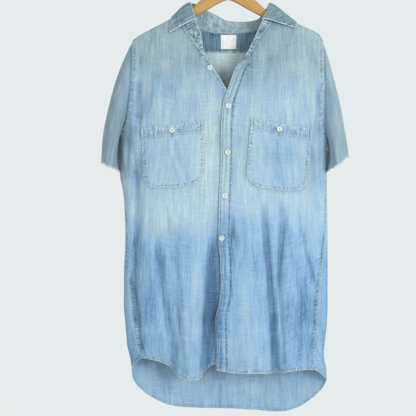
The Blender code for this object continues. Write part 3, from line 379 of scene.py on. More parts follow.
# %% The creased surface
def crumple(points):
    """Relief of washed cloth at any place of the shirt, in millimetres."""
    fine = hills(points, (7, 16, 26), 1) * 0.22 + hills(points, (4.5, 9, 9), 2) * 0.10
    hanging = hills(points, (17, 45, 95), 3) * 0.8 + hills(points, (38, 60, 260), 4) * 1.3
    low = ease(-points[..., 2], 480, 640)
    return fine + hanging * (0.45 + 0.55 * low)


def on_body(turn, drop, out=0.0):
    """Place and way out on the creased shirt."""
    points, facing = body(turn, drop), body_normal(turn, drop)
    cosine = np.cos(np.radians(turn))
    x, drop = points[..., 0], np.broadcast_to(np.asarray(drop, float), points.shape[:-1])
    shown = np.where(cosine > 0, creases(x, drop) + runs(x, drop), 0)
    relief = crumple(points) + shown * np.minimum(1, np.abs(cosine) * SIDE_FADE)
    return points + facing * (relief + out)[..., None], facing


print("relief at the chest", round(float(crumple(body(20.0, 400.0))), 2), "mm")

# %% [markdown]
# ## From a grid to a sheet of cloth
# A cut piece is a grid of points on the body surface. Its seams are described by their distance from the
# grid's sides: a doubled band that stands out, rows of stitches that pull a groove and pucker the cloth,
# and an edge that has worn pale. Solidify then gives the sheet its thickness.

# %% Distances and seams
def walked(points, axis):
    """Distance along the grid from its first row or column."""
    step = np.linalg.norm(np.diff(points, axis=axis), axis=2)
    start = np.zeros_like(np.take(step, [0], axis=axis))
    return np.concatenate([start, np.cumsum(step, axis=axis)], axis=axis)


def from_sides(points):
    """For each side of the grid, the distance from it and the distance along it."""
    across, down = walked(points, 1), walked(points, 0)
    return {"first": (across, down), "last": (across[:, -1:] - across, down),
            "top": (down, across), "low": (down[-1:] - down, across)}


def ripple(along, length=7.0, shift=0.0):
    """Uneven waves along a seam, -1 to 1."""
    bent = along + 2.6 * np.sin(along / 13.7 + shift) + 1.7 * np.sin(along / 5.3 + 2 * shift)
    return np.sin(2 * np.pi * bent / length) * (0.65 + 0.35 * np.sin(along / 21.0 + 3 * shift))


STITCH_GROOVE = 0.4


def seam_relief(distance, along, band, rise, rows, pucker, shift):
    """A doubled band that stands out, grooves at the rows of stitches, and puckers."""
    out = rise * (1 - ease(distance, band - 0.9, band + 0.9)) if band else 0 * distance
    for row in rows:
        out = out - STITCH_GROOVE * np.exp(-(distance - row) ** 2)
    reach = band * 0.6 + 3.5
    return out + pucker * ripple(along, shift=shift) * np.exp(-((distance - band / 2) / reach) ** 2)


def seam_wear(distance, along, band, amount, shift):
    """The edge and the crests of the puckers rub pale."""
    rim = np.exp(-(distance / 1.8) ** 2)
    crest = np.clip(ripple(along, shift=shift), 0, 1)
    return amount * (rim + 0.45 * crest * np.exp(-((distance - band / 2) / (band * 0.5 + 2)) ** 2))


print("a felled seam rises", seam_relief(np.array([3.5]), np.zeros(1), 7.0, 0.7, (), 0.0, 0).round(2), "mm")

# %% Lines to sew along
def at_distance(distance, far, rows):
    """For each row, its value at one distance along the row."""
    return np.array([[np.interp(distance, way, row[:, k]) for k in range(3)] for way, row in zip(far, rows)])


def line_at(points, facing, side, distance, trim=(0, 0)):
    """The line on a sheet at one distance from one of its sides, with its ways out."""
    if side in ("top", "low"):
        points, facing = points.swapaxes(0, 1), facing.swapaxes(0, 1)
    if side in ("low", "last"):
        points, facing = points[:, ::-1], facing[:, ::-1]
    far = walked(points, 1)
    keep = far[:, -1] > distance
    spots, outs = at_distance(distance, far[keep], points[keep]), at_distance(distance, far[keep], facing[keep])
    length = walked(spots[None], 1)[0]
    inside = (length >= trim[0]) & (length <= length[-1] - trim[1])
    return spots[inside], outs[inside]


print("a sheet has", len(from_sides(np.zeros((2, 2, 3)))), "sides to sew along")

# %% [markdown]
# ## Where the sun bleached it
# The dye is palest and a little green on the shoulders and sleeves, pale across the chest, and still
# blue below the waist. The border between is soft and wanders. Round patches and long lines are a little
# bluer or paler than the cloth around them. These masks are worked out from a point's place, so they run
# on across the seams, and are kept on each sheet as attributes.

# %% Patches and lines of the dye
# x, drop, half width, half height, bluer (or paler, below 0)
PATCHES = np.array([
    (-150, 320, 55, 70, 0.14), (-90, 270, 50, 60, 0.12), (95, 250, 60, 60, 0.14), (120, 330, 60, 60, 0.08),
    (-40, 420, 30, 110, -0.14), (30, 400, 26, 90, -0.08), (-120, 600, 70, 40, -0.10), (60, 590, 70, 45, -0.10),
    (-205, 460, 26, 120, 0.25), (205, 480, 24, 120, 0.18), (-190, 800, 24, 120, 0.20), (180, 790, 26, 130, 0.22),
    (120, 650, 40, 60, 0.12), (-80, 800, 26, 110, -0.12), (40, 820, 26, 110, -0.10), (-22, 820, 14, 140, 0.25),
    (20, 640, 40, 50, 0.20), (-60, 480, 22, 60, -0.10), (-50, 860, 16, 80, 0.16), (-38, 740, 11, 80, 0.16),
    (150, 820, 34, 90, 0.16), (104, 800, 14, 130, 0.10), (64, 600, 26, 40, 0.12), (-150, 190, 60, 60, 0.10),
    (160, 190, 55, 60, 0.08), (-126, 455, 62, 66, 0.10), (118, 455, 66, 72, 0.17), (110, 610, 70, 60, 0.10)])
# half width, bluer, then x and drop along a line on the front
DYE_LINES = (
    (15, 0.26, (104, 160), (80, 184), (58, 220), (44, 262), (38, 300)),
    (7, 0.16, (-106, 150), (-82, 190), (-62, 232)), (13, 0.26, (-34, 272), (-20, 296), (-12, 330)),
    (9, 0.20, (-158, 270), (-172, 320), (-190, 372)), (12, 0.22, (-206, 300), (-216, 360), (-222, 430)),
    (8, 0.20, (28, 330), (20, 420), (12, 520), (10, 640)), (9, -0.12, (-50, 560), (-66, 660), (-78, 780)),
    (9, -0.10, (44, 640), (40, 760), (34, 900)), (7, 0.16, (206, 250), (203, 330), (214, 420)),
    (7, 0.14, (-120, 620), (-112, 720), (-100, 800)), (8, 0.12, (-166, 680), (-160, 760), (-164, 860)))
print(len(PATCHES), "patches and", len(DYE_LINES), "lines")

# %% Dye masks
BLUE_FROM = 630.0        # drop of the border between bleached and blue cloth
BEHIND = 0.3             # how much of the patches shows on the back


def dye_masks(points):
    """How blue and how green the dye is at each point."""
    x, drop = points[..., 0], -points[..., 2]
    border = BLUE_FROM + 26 * hills(points, (150, 90, 220), 17) + 30 * hills(points, (70, 80, 90), 5)
    border = border + 24 * hills(points, (22, 60, 60), 6)
    border = border - 38 * np.exp(-((x + 14) / 42) ** 2) + 26 * ease(np.abs(x), 130, 210)
    blue = 0.27 + 0.33 * ease(drop, border - 70, border + 75)
    seen, on_front = np.where(points[..., 1] < 8, 1, BEHIND), np.where(points[..., 1] < 4, 1.0, 0.0)
    for px, pd, wide, tall, more in PATCHES:
        blue = blue + more * np.exp(-((x - px) / wide) ** 2 - ((drop - pd) / tall) ** 2) * seen
    for half, more, *line in DYE_LINES:
        blue = blue + more * on_front * np.exp(-(near_line(x, drop, np.array(line, float))[0] / half) ** 2)
    blue = blue + 0.11 * hills(points, (9, 30, 55), 7) + 0.08 * hills(points, (40, 60, 30), 8)
    green = 1 - ease(drop + 30 * hills(points, (80, 80, 60), 9), 215, 330) * (0.65 + 0.35 * ease(drop, 440, 600))
    green = np.maximum(green, ease(np.abs(x), 222, 240) * (1 - ease(drop, 505, 520)))
    return np.clip(blue, 0, 1.2), np.clip(green, 0, 1)


print("dye at the chest and the hem", [round(float(dye_masks(body(10.0, d))[0]), 2) for d in (350.0, 900.0)])

# %% Grids and objects
def grid_mesh(bm, rows, columns):
    """A flat grid; returns its vertices in order, row by row."""
    made = bmesh.ops.create_grid(bm, x_segments=columns - 1, y_segments=rows - 1, size=1.0)
    return sorted(made["verts"], key=lambda v: (round(v.co.y, 5), round(v.co.x, 5)))


def put(bm, name):
    """Turns a bmesh into an object at the origin."""
    mesh = bpy.data.meshes.new(name)
    bm.to_mesh(mesh)
    bm.free()
    mesh.polygons.foreach_set("use_smooth", [True] * len(mesh.polygons))
    return in_scene(name, mesh)


def rows_between(start, end, drops, columns, samples=161):
    """Turns evenly spaced round each row, from its start to its end."""
    turns = start[:, None] + (end - start)[:, None] * np.linspace(0, 1, samples)
    way = walked(body(turns, drops[:, None]), 1)
    share = np.linspace(0, 1, columns)
    return np.array([np.interp(share * w[-1], w, t) for w, t in zip(way, turns)])


print("a row of three turns", rows_between(np.zeros(1), np.full(1, 90.0), np.full(1, 400.0), 3).round(1))

# %% Shade in the folds
VALLEYS = ((9, 3.2), (22, 9.0))      # reach in grid steps, and the depth in mm that counts as full


def averaged(values, axis, most):
    """Running average along one axis of a grid."""
    size = values.shape[axis]
    reach = max(2, min(most, size // 6))
    padded = np.concatenate([np.repeat(values.take([0], axis), reach, axis), values,
                             np.repeat(values.take([-1], axis), reach, axis)], axis)
    total = np.cumsum(np.concatenate([np.zeros_like(padded.take([0], axis)), padded], axis), axis)
    width = 2 * reach + 1
    return (total.take(range(width, width + size), axis) - total.take(range(size), axis)) / width


def valley(points, facing):
    """How deep a point lies below its neighbours on the sheet, 0 to 1, which becomes painted shade in the folds."""
    y = np.abs(points[..., 1])
    depth = 0
    for most, full in VALLEYS:
        wide = averaged(averaged(y, 0, most), 1, most)
        depth = depth + 0.65 * np.clip((wide - y) / full, -0.3, 1)
    calm = 0.5 + 0.5 * ease(-points[..., 2], 540, 740)
    return np.clip(depth, 0, 1) * calm * np.clip(np.abs(facing[..., 1]) * 1.6 - 0.5, 0, 1)


print("folds are shaded over", [most for most, _ in VALLEYS], "grid steps")

# %% Cloth maker
CLOTH_THICK = 0.8
DOUBLED = 1.8            # a doubled band is this many times as thick as the cloth
SINGLE = 0.55            # so one layer has this share of a doubled band's thickness
NO_EDGE = 99.0
SEWN = {}                # sheet's name: the lines to sew along


def straight_warp(across, points, at):
    """Shifts each row's distances, so that the warp hangs straight down at this x."""
    columns = points.shape[1]
    wrapped = points[-1, 0, 1] < 0 < points[-1, columns // 2, 1]      # the back's ends lie on the front
    middle = slice(columns // 4, -columns // 4) if wrapped else slice(None)
    for row, line in enumerate(points[:, middle, 0]):
        order = np.argsort(line)
        across[row] = across[row] - np.interp(at, line[order], across[row, middle][order])
    return across


def sheet_mesh(points, facing, across, down, values, doubled):
    """A grid of points as a bmesh, with its UV map, its attributes and its thickness weights."""
    bm = bmesh.new()
    layers = {key: bm.verts.layers.float.new(key) for key in values}
    uv = bm.loops.layers.uv.new("cloth")
    group = bm.verts.layers.deform.new()
    verts = grid_mesh(bm, *points.shape[:2])
    flat = {key: np.broadcast_to(value, points.shape[:2]).ravel() for key, value in values.items()}
    across, down, doubled = across.ravel(), down.ravel(), doubled.ravel()
    for i, (vert, point) in enumerate(zip(verts, points.reshape(-1, 3))):
        vert.co = point * MM
        for key, layer in layers.items():
            vert[layer] = float(flat[key][i])
        vert[group][0] = SINGLE + (1 - SINGLE) * float(doubled[i])
    order = {vert: i for i, vert in enumerate(verts)}
    for face in bm.faces:
        for loop in face.loops:
            i = order[loop.vert]
            loop[uv].uv = (float(across[i]), float(down[i]))
    first = bm.faces[:][0]
    bm.normal_update()
    if first.normal.dot(Vector(facing.reshape(-1, 3)[order[first.verts[0]]])) < 0:
        bmesh.ops.reverse_faces(bm, faces=bm.faces)
    return bm


def cloth(name, points, facing, seams=(), thick=CLOTH_THICK, tube=False, masks=None, extra_wear=0.0,
          extra_fold_shade=0.0, puckers=None, grain=None):
    """A sheet with relief, masks and thickness. seams: side, band, rise, rows, pucker, wear, trim."""
    shape = points.shape[:2]
    relief, wear, doubled = np.zeros(shape), np.zeros(shape) + extra_wear, np.zeros(shape)
    edge, beside, near = (np.full(shape, value) for value in (NO_EDGE, 0.0, 0.0))
    sides = from_sides(points)
    for shift, (side, band, rise, rows, pucker, amount, trim) in enumerate(seams):
        distance, along = sides[side]
        relief = relief + seam_relief(distance, along, band, rise, rows, pucker, shift + len(name))
        wear = wear + seam_wear(distance, along, band, amount, shift + len(name))
        if band:
            doubled = np.maximum(doubled, 1 - ease(distance, band - 0.9, band + 0.9))
            near = np.maximum(near, 1 - ease(distance, band * 0.7, band + 5))
            edge, beside = np.minimum(edge, distance), np.where(distance < edge, along + 300 * shift, beside)
    if puckers:
        edge, beside, near = puckers
    points = points + facing * relief[..., None]
    SEWN[name] = [line_at(points, facing, side, row, trim) for side, _, _, rows, _, _, trim in seams
                  for row in rows]
    blue, green = dye_masks(points) if masks is None else masks
    # painted shade: how deep each point lies, plus any extra painted shade, darkens the folds
    values = {"blue": blue, "green": green, "wear": wear, "edge": edge, "beside": beside, "near": near,
              "fold": np.clip(valley(points, facing) + extra_fold_shade, 0, 1.3)}
    across, down = sides["first"][0] * MM, -sides["top"][0] * MM
    if grain is not None:
        across = straight_warp(across, points, grain)
    bm = sheet_mesh(points, facing, across, down, values, doubled)
    if tube:
        bmesh.ops.remove_doubles(bm, verts=bm.verts, dist=1e-6)
    piece = put(bm, name)
    piece.vertex_groups.new(name="doubled")
    wall = piece.modifiers.new("thickness", "SOLIDIFY")
    wall.thickness = thick * DOUBLED * MM
    wall.offset = -1
    wall.vertex_group = "doubled"
    wall.thickness_vertex_group = 0.0
    wall.use_rim = True
    wall.material_offset = 1
    wall.material_offset_rim = 0
    return piece


print("cloth is", CLOTH_THICK, "mm thick and", round(CLOTH_THICK * DOUBLED, 2), "where it is doubled")

# %% [markdown]
# ## Node groups
# Chambray is a plain weave of a dyed warp and a white weft, so it looks mottled. One group makes the
# threads and the uneven slubs from the sheet's own UV map, in metres. A second one makes the puckers
# across a seam and its rows of stitch holes from the distance to the seam. A third one turns the masks
# into colour and paints shade into the folds, and a fourth one mixes in one small stain. Every piece of
# cloth uses the first three, each with its own values.

# %% Node helpers
def new_group(name, ins, outs):
    """A shader node group with named sockets; returns it with its inner inputs and outputs."""
    group = bpy.data.node_groups.new(name, "ShaderNodeTree")
    for label, kind, value in ins:
        socket = group.interface.new_socket(label, in_out="INPUT", socket_type="NodeSocket" + kind)
        if value is not None:
            socket.default_value = value
    for label, kind in outs:
        group.interface.new_socket(label, in_out="OUTPUT", socket_type="NodeSocket" + kind)
    return group, group.nodes.new("NodeGroupInput").outputs, group.nodes.new("NodeGroupOutput").inputs


def fill(tree, node, inputs):
    """Gives a node's inputs plain values or other nodes' outputs."""
    for key, value in inputs.items():
        if isinstance(value, bpy.types.NodeSocket):
            tree.links.new(value, node.inputs[key])
        else:
            node.inputs[key].default_value = value


def add(tree, kind, inputs=None, **settings):
    """A new node with its settings and inputs."""
    node = tree.nodes.new("ShaderNode" + kind)
    for key, value in settings.items():
        setattr(node, key, value)
    fill(tree, node, inputs or {})
    return node


def calc(tree, operation, *values, clamp=False):
    """One sum; returns its output."""
    return add(tree, "Math", dict(enumerate(values)), operation=operation, use_clamp=clamp).outputs[0]


def mix(tree, share, first, second):
    """The first colour, with a share of the second."""
    return add(tree, "Mix", {0: share, 6: first, 7: second}, data_type="RGBA").outputs[2]


def ramp(tree, value, stops):
    """A colour ramp through places and colours."""
    node = add(tree, "ValToRGB", {0: value})
    while len(node.color_ramp.elements) < len(stops):
        node.color_ramp.elements.new(0.5)
    for element, (place, colour) in zip(node.color_ramp.elements, stops):
        element.position = place
        element.color = (*colour, 1)
    return node.outputs[0]


def stretched(tree, vector, scale, detail=2.0, rough=0.5):
    """Noise stretched along the cloth: scale is hills per metre along u and v."""
    scaled = add(tree, "VectorMath", {0: vector, 1: (*scale, 1.0)}, operation="MULTIPLY").outputs[0]
    return add(tree, "TexNoise", {"Vector": scaled, "Scale": 1.0, "Detail": detail, "Roughness": rough}).outputs[0]


def clouded(tree, shader, scale, detail, stops):
    """Gives the base colour a cloudy pattern on the piece's own coordinates; returns the pattern."""
    spot = add(tree, "TexCoord").outputs["Object"]
    cloud = add(tree, "TexNoise", {"Vector": spot, "Scale": scale, "Detail": detail}).outputs[0]
    tree.links.new(ramp(tree, cloud, stops), shader.inputs["Base Color"])
    return cloud


print("helpers ready")

# %% Weave group
weave, gi, go = new_group("chambray_weave", [("Vector", "Vector", None), ("Threads", "Float", 1500.0)],
                          [("Tone", "Float"), ("Height", "Float")])
split = add(weave, "SeparateXYZ", {0: gi["Vector"]})
pace = calc(weave, "MULTIPLY", gi["Threads"], 6.2832)
waves = [calc(weave, "SINE", calc(weave, "MULTIPLY", split.outputs[axis], pace)) for axis in (0, 1)]
checks = calc(weave, "MULTIPLY", *waves)
tone = 0.0
# slubs: hills per metre along u and v, detail, weight
for scale, detail, weight in (((380, 26), 3, 1.7), ((150, 9), 2, 1.1), ((26, 360), 3, 1.2), ((300, 260), 2, 0.7)):
    part = calc(weave, "SUBTRACT", stretched(weave, gi["Vector"], scale, detail, 0.6), 0.5)
    tone = calc(weave, "ADD", tone, calc(weave, "MULTIPLY", part, weight))
weave.links.new(calc(weave, "ADD", tone, calc(weave, "MULTIPLY", checks, 0.06)), go["Tone"])
weave.links.new(calc(weave, "ADD", calc(weave, "MULTIPLY", checks, 0.12), calc(weave, "MULTIPLY", tone, 0.35)),
                go["Height"])

print(len(weave.nodes), "nodes in the weave")

# %% Pucker group
pucker, gi, go = new_group(
    "seam_puckers", [("Edge", "Float", 99.0), ("Beside", "Float", 0.0), ("Near", "Float", 0.0),
                     ("Row", "Float", 1.4), ("Second row", "Float", 5.9)],
    [("Tone", "Float"), ("Line", "Float"), ("Rim", "Float")])
place = add(pucker, "CombineXYZ", {0: calc(pucker, "MULTIPLY", gi["Beside"], 0.27),
                                   1: calc(pucker, "MULTIPLY", gi["Edge"], 0.09)}).outputs[0]
ticks = add(pucker, "TexNoise", {"Vector": place, "Scale": 1.0, "Detail": 2.0, "Roughness": 0.55}).outputs[0]
ticks = calc(pucker, "MULTIPLY", calc(pucker, "SUBTRACT", ticks, 0.5), 5.0)
pucker.links.new(calc(pucker, "MULTIPLY", ticks, gi["Near"]), go["Tone"])
line = 0.0
for row in ("Row", "Second row"):
    off = calc(pucker, "ABSOLUTE", calc(pucker, "SUBTRACT", gi["Edge"], gi[row]))
    line = calc(pucker, "ADD", line, calc(pucker, "SUBTRACT", 1.0, calc(pucker, "MULTIPLY", off, 0.9), clamp=True))
pucker.links.new(line, go["Line"])
pucker.links.new(calc(pucker, "SUBTRACT", 1.0, calc(pucker, "MULTIPLY", gi["Edge"], 0.55), clamp=True), go["Rim"])

print(len(pucker.nodes), "nodes in the puckers")

# %% Dye and painted fold shade group
PALE_WEAR_AND_LIGHT, FOLD_SHADE = (0.48, 0.595, 0.63, 1), (0.035, 0.075, 0.12, 1)
fade, gi, go = new_group(
    "washed_dye_and_fold_shade", [("Blue", "Float", 0.5), ("Green", "Float", 0.0), ("Wear and light", "Float", 0.0),
                   ("Fold", "Float", 0.0), ("Tone", "Float", 0.0), ("Contrast", "Float", 0.5)],
    [("Color", "Color"), ("Rough", "Float")])
amount = calc(fade, "SUBTRACT", gi["Blue"], calc(fade, "MULTIPLY", gi["Tone"], gi["Contrast"]))
# painted shade: the folds are drawn bluer
amount = calc(fade, "ADD", amount, calc(fade, "MULTIPLY", gi["Fold"], 0.26))
amount = calc(fade, "MULTIPLY", amount, 0.8)
blues = ramp(fade, amount, [(0.0, (0.38, 0.48, 0.50)), (0.2, (0.285, 0.395, 0.455)), (0.4, (0.215, 0.342, 0.470)),
                            (0.6, (0.142, 0.265, 0.405)), (0.8, (0.072, 0.158, 0.27)), (1.0, (0.036, 0.085, 0.15))])
greens = ramp(fade, amount, [(0.0, (0.34, 0.41, 0.43)), (0.2, (0.245, 0.325, 0.36)), (0.4, (0.178, 0.255, 0.295)),
                             (0.6, (0.12, 0.188, 0.23)), (0.8, (0.065, 0.12, 0.155)), (1.0, (0.03, 0.06, 0.085))])
colour = mix(fade, gi["Green"], blues, greens)
# a pale colour mixes in for wear, and on the inside as painted light too
worn = calc(fade, "MULTIPLY", gi["Wear and light"], calc(fade, "ADD", 0.75, gi["Tone"]), clamp=True)
colour = mix(fade, worn, colour, PALE_WEAR_AND_LIGHT)
# painted shade: the folds are darkened towards a deep blue
colour = mix(fade, calc(fade, "MULTIPLY", gi["Fold"], 0.34, clamp=True), colour, FOLD_SHADE)
fade.links.new(colour, go["Color"])
fade.links.new(calc(fade, "ADD", 0.84, calc(fade, "MULTIPLY", gi["Tone"], 0.12), clamp=True), go["Rough"])

print(len(fade.nodes), "nodes in the dye")

# %% Stain group
stain, gi, go = new_group("stain", [("Color", "Color", None), ("Place", "Vector", None), ("Middle", "Vector", None),
                                    ("Radius", "Float", 0.01), ("Stain", "Color", None), ("Share", "Float", 0.5)],
                          [("Color", "Color")])
away = add(stain, "VectorMath", {0: gi["Place"], 1: gi["Middle"]}, operation="SUBTRACT").outputs[0]
away = add(stain, "VectorMath", {0: away, 1: (1.0, 0.6, 1.0)}, operation="MULTIPLY").outputs[0]
away = add(stain, "VectorMath", {0: away}, operation="LENGTH").outputs["Value"]
here = calc(stain, "SUBTRACT", 1.3, calc(stain, "DIVIDE", away, gi["Radius"]), clamp=True)
stain.links.new(mix(stain, calc(stain, "MULTIPLY", here, gi["Share"]), gi["Color"], gi["Stain"]), go["Color"])
print(len(stain.nodes), "nodes in the stain")

# %% [markdown]
# ## Cloth materials
# Each cloth material places the groups and reads the sheet's masks. The inside of a sheet has its own
# material. It is painted paler, a painted light where the inside lies in shade, and the yoke's inside is
# bluer, partly because it saw less sun and partly as painted shade. The left sleeve is painted darker than
# the right, a painted shade. The few stains and dark spots are only on the outside, at places on the front.

# %% Cloth material maker
# x, drop, radius, share, colour
STAINS = ((-24, 386, 9, 0.30, (0.28, 0.30, 0.12)), (-40, 424, 13, 0.22, (0.27, 0.29, 0.13)),
          (-10, 418, 8, 0.16, (0.28, 0.30, 0.14)), (-48, 470, 2.2, 0.75, (0.10, 0.08, 0.05)),
          (-182, 236, 14, 0.22, (0.26, 0.29, 0.14)), (108, 430, 1.6, 0.6, (0.16, 0.09, 0.05)),
          (122.5, 684, 1.9, 0.95, (0.02, 0.02, 0.025)), (-190, 912, 2.4, 0.9, (0.02, 0.03, 0.04)))
STAIN_Y = -0.045         # the front lies near this depth
MASKS = ("blue", "green", "wear", "fold", "edge", "beside", "near")


def cloth_material(name, contrast=0.5, blue=0.0, green=1.0, wear=1.0, bump=0.35, seams=1.0, rows=(1.4, 5.9),
                   rim=0.45, folds=1.0, painted_light_top=0.0, stains=()):
    """A cloth finish: how much of each mask shows, and its rows of stitch holes in mm from the edge."""
    mat = bpy.data.materials.new(name)
    mat.use_nodes = True
    tree = mat.node_tree
    shader = tree.nodes["Principled BSDF"]
    uv = add(tree, "UVMap", uv_map="cloth").outputs[0]
    masks = {key: add(tree, "Attribute", attribute_name=key).outputs["Fac"] for key in MASKS}
    threads = add(tree, "Group", {"Vector": uv}, node_tree=weave)
    pulled = add(tree, "Group", {"Edge": masks["edge"], "Beside": masks["beside"], "Near": masks["near"],
                                 "Row": rows[0], "Second row": rows[1]}, node_tree=pucker)
    ticks = calc(tree, "MULTIPLY", pulled.outputs["Tone"], seams)
    # painted shade: the fold mask, scaled by folds, darkens the folds; the dark ticks between the puckers, partly
    # wear and partly painted shade, and the rows of stitch holes are darkened through the same input, while the pale
    # ticks and rims add to the wear
    low = calc(tree, "MAXIMUM", calc(tree, "MULTIPLY", ticks, -0.75), 0.0)
    high = calc(tree, "MAXIMUM", calc(tree, "MULTIPLY", ticks, 0.6), 0.0)
    low = calc(tree, "ADD", low, calc(tree, "MULTIPLY", pulled.outputs["Line"], 0.55 * seams))
    high = calc(tree, "ADD", high, calc(tree, "MULTIPLY", pulled.outputs["Rim"], rim))
    rubbed = calc(tree, "MULTIPLY", calc(tree, "ADD", masks["wear"], high), wear)
    # painted light: painted_light_top adds a pale wash where the green mask is, through the wear input
    dye = add(tree, "Group", {
        "Blue": calc(tree, "ADD", masks["blue"], blue),
        "Green": calc(tree, "MULTIPLY", masks["green"], green),
        "Wear and light": calc(tree, "ADD", rubbed, calc(tree, "MULTIPLY", masks["green"], painted_light_top)),
        "Fold": calc(tree, "ADD", calc(tree, "MULTIPLY", masks["fold"], folds), low),
        "Tone": threads.outputs["Tone"], "Contrast": contrast}, node_tree=fade)
    colour = dye.outputs["Color"]
    for x, drop, radius, share, tint in stains:
        colour = add(tree, "Group", {
            "Color": colour, "Place": add(tree, "TexCoord").outputs["Object"],
            "Middle": (x * MM, STAIN_Y, -drop * MM), "Radius": radius * MM, "Share": share,
            "Stain": (*tint, 1)}, node_tree=stain).outputs["Color"]
    holes = calc(tree, "MULTIPLY", pulled.outputs["Line"], 0.5)
    gathered = add(tree, "Bump", {"Height": calc(tree, "SUBTRACT", ticks, holes), "Strength": 0.7,
                                  "Distance": 0.0012}).outputs[0]
    lifted = add(tree, "Bump", {"Height": threads.outputs["Height"], "Strength": bump, "Distance": 0.0008,
                                "Normal": gathered}).outputs[0]
    fill(tree, shader, {"Base Color": colour, "Roughness": dye.outputs["Rough"], "Normal": lifted,
                        "Specular IOR Level": 0.25, "Sheen Weight": 0.15, "Sheen Roughness": 0.5})
    return mat


print("masks", MASKS, "and", len(STAINS), "stains")

# %% Cloth materials
outside = cloth_material("chambray_outside", stains=STAINS)
# painted light: the inside is paler and keeps little fold shade, to lift it where it lies in shade
inside = cloth_material("chambray_inside_painted_light", blue=-0.1, green=0.3, wear=0.5, seams=0.7, folds=0.1, painted_light_top=0.95)
inside_band = cloth_material("chambray_band_inside", wear=0.7, seams=0.9, rows=(2.0, NO_EDGE))
# the yoke's inside is bluer: partly less sun, partly painted shade in the open neck
inside_yoke = cloth_material("chambray_yoke_inside", blue=0.6, green=0.7, wear=0.6, folds=0.2, rim=0.9)
# painted shade: the left sleeve is drawn bluer and darker than the right, on the side of the weaker lamp
sleeve_cloths = {"left": cloth_material("chambray_sleeve_left", blue=0.26),
                 "right": cloth_material("chambray_sleeve_right", blue=0.15)}
inside_sleeve = cloth_material("chambray_sleeve_inside", blue=0.3, green=0.4, wear=0.5)
collar_cloth = cloth_material("chambray_collar", contrast=0.9, blue=0.42, rows=(1.8, 5.0))
band_cloth = cloth_material("chambray_band", contrast=0.9, blue=0.2, rows=(2.0, NO_EDGE), seams=1.9, rim=0.9)
placket_cloth = cloth_material("chambray_placket", rows=(2.6, 4.2), rim=0.2)
print(len(bpy.data.materials), "materials so far")

# %% Dressing a piece
def plain_material(name, colour, rough, metal=0.0, coat=0.0):
    """A material with one colour; returns its tree and its shader too."""
    mat = bpy.data.materials.new(name)
    mat.use_nodes = True
    shader = mat.node_tree.nodes["Principled BSDF"]
    fill(mat.node_tree, shader, {"Base Color": (*colour, 1), "Roughness": rough, "Metallic": metal,
                                 "Coat Weight": coat})
    return mat, mat.node_tree, shader


def dress(piece, node, slot, *materials, flat=None, area=None, held="hung", rests_on=()):
    """Finishes a piece: its materials, its parent and the CAD node it stands for, which it hides. The sheet's cut,
    flat and area, is not used.
    """
    for mat in materials:
        piece.data.materials.append(mat)
    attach(piece, "root")
    if node:
        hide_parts(node)
    print(piece.name, len(piece.data.polygons) if piece.type == "MESH" else "curve")
    return piece


print("pieces can be dressed")

# %% [markdown]
# ## The two fronts
# Each front runs from the shoulder seam over the armhole and the side seam down to its curved hem. Its
# rows follow the drop and its columns are evenly spaced round the row. Below the last straight row the
# grid spreads out to the hem's curve. The under front is pressed in where the upper one covers it.

# %% Rows of a front
FELLED = (7.0, 0.7, (1.2, 6.2), 0.35, 0.35)      # a felled seam: band, rise, stitch rows, pucker, wear
HEMMED = (7.5, 0.5, (5.8,), 0.55, 0.75)          # a turned hem
NO_TRIM = (0, 0)
TOP_DROP = 129.0         # the fronts' first row, just below the top of the shoulder


def front_rows(side, columns, rows=(22, 100, 205), hem_rows=30):
    """Turns and drops of a front's grid. rows: above the shoulder's end, along the armhole, below it."""
    place, sign = (1, -1) if side == "left" else (2, 1)
    drops = np.concatenate([np.linspace(TOP_DROP, SHOULDER, rows[0])[:-1],
                            np.linspace(SHOULDER, UNDERARM[side], rows[1])[:-1],
                            np.linspace(UNDERARM[side], LAST_ROW, rows[2])])

    def turns_of(at):
        return rows_between(sign * side_turn(side, at), turn_at(column(FRONT_EDGE, place, at), at), at, columns)

    turns = turns_of(drops)
    grid = np.repeat(drops[:, None], columns, axis=1)
    hem = smooth(FRONT_HEM[side][:, 0], FRONT_HEM[side][:, 1], body(turns[-1], SEAM_LOW[side])[:, 0])
    hem[0] = SEAM_LOW[side]
    lower = LAST_ROW + (hem - LAST_ROW) * np.linspace(0, 1, hem_rows)[1:, None]
    return np.vstack([turns, turns_of(lower[:, 0])]), np.vstack([grid, lower])


print("rows and columns", front_rows("left", 104)[0].shape)

# %% Fronts
LAP_DEPTH = 2.4          # the under front lies this much deeper behind the placket
# each side: the column of its edge, how much painted shade lies beside the neckband, its free edge as a seam, its
# middle
FRONTS = {"left": (1, 0.45, ("last", 8.0, 0.4, (8.0,), 0.5, 0.6, (0, 420)), -115),
          "right": (2, 0.85, ("last", 0, 0, (), 0.2, 0.5, NO_TRIM), 115)}

for side, (place, dark, free_edge, middle) in FRONTS.items():
    turns, drops = front_rows(side, 104)
    x = body(turns, drops)[..., 0]
    off_edge = np.abs(x) - np.abs(column(FRONT_EDGE, place, drops))
    # painted shade along the front's edge beside the neckband
    slit = dark * (1 - ease(drops, 232, 262)) * np.exp(-((off_edge - 1) / 3.4) ** 2)
    lap = 0 * drops
    if side == "left":
        edge = column(FRONT_EDGE, 2, drops)
        lap = -LAP_DEPTH * ease(x, edge - 30, edge - 5) * ease(drops, 255, 300)
        # the shade beside the placket's free edge, where it stands off below the last button
        slit += ease(drops, 600, 680) * 0.9 * (1 - 0.6 * ease(drops, 790, 850)) * np.exp(
            -((x - edge + 1.5) / 3.2) ** 2)
    points, facing = on_body(turns, drops, lap)
    piece = cloth("front_%s_cloth" % side, points, facing,
                  [("first", *FELLED, (6, 8)), ("low", *HEMMED, (6, 6)), free_edge], grain=middle, extra_fold_shade=slit)
    dress(piece, "front_" + side, "cloth_pale", outside, inside, flat=(0.28, 0.84), area=0.19,
          rests_on=["hanger_wood"])

# %% [markdown]
# ## Back and yoke
# The back hangs from the yoke's seam, goes round to the side seams that show on the front, and ends in a
# long curved tail. The yoke is one shallow piece from shoulder to shoulder. Its inner side and the bare
# white label show in the open neck.

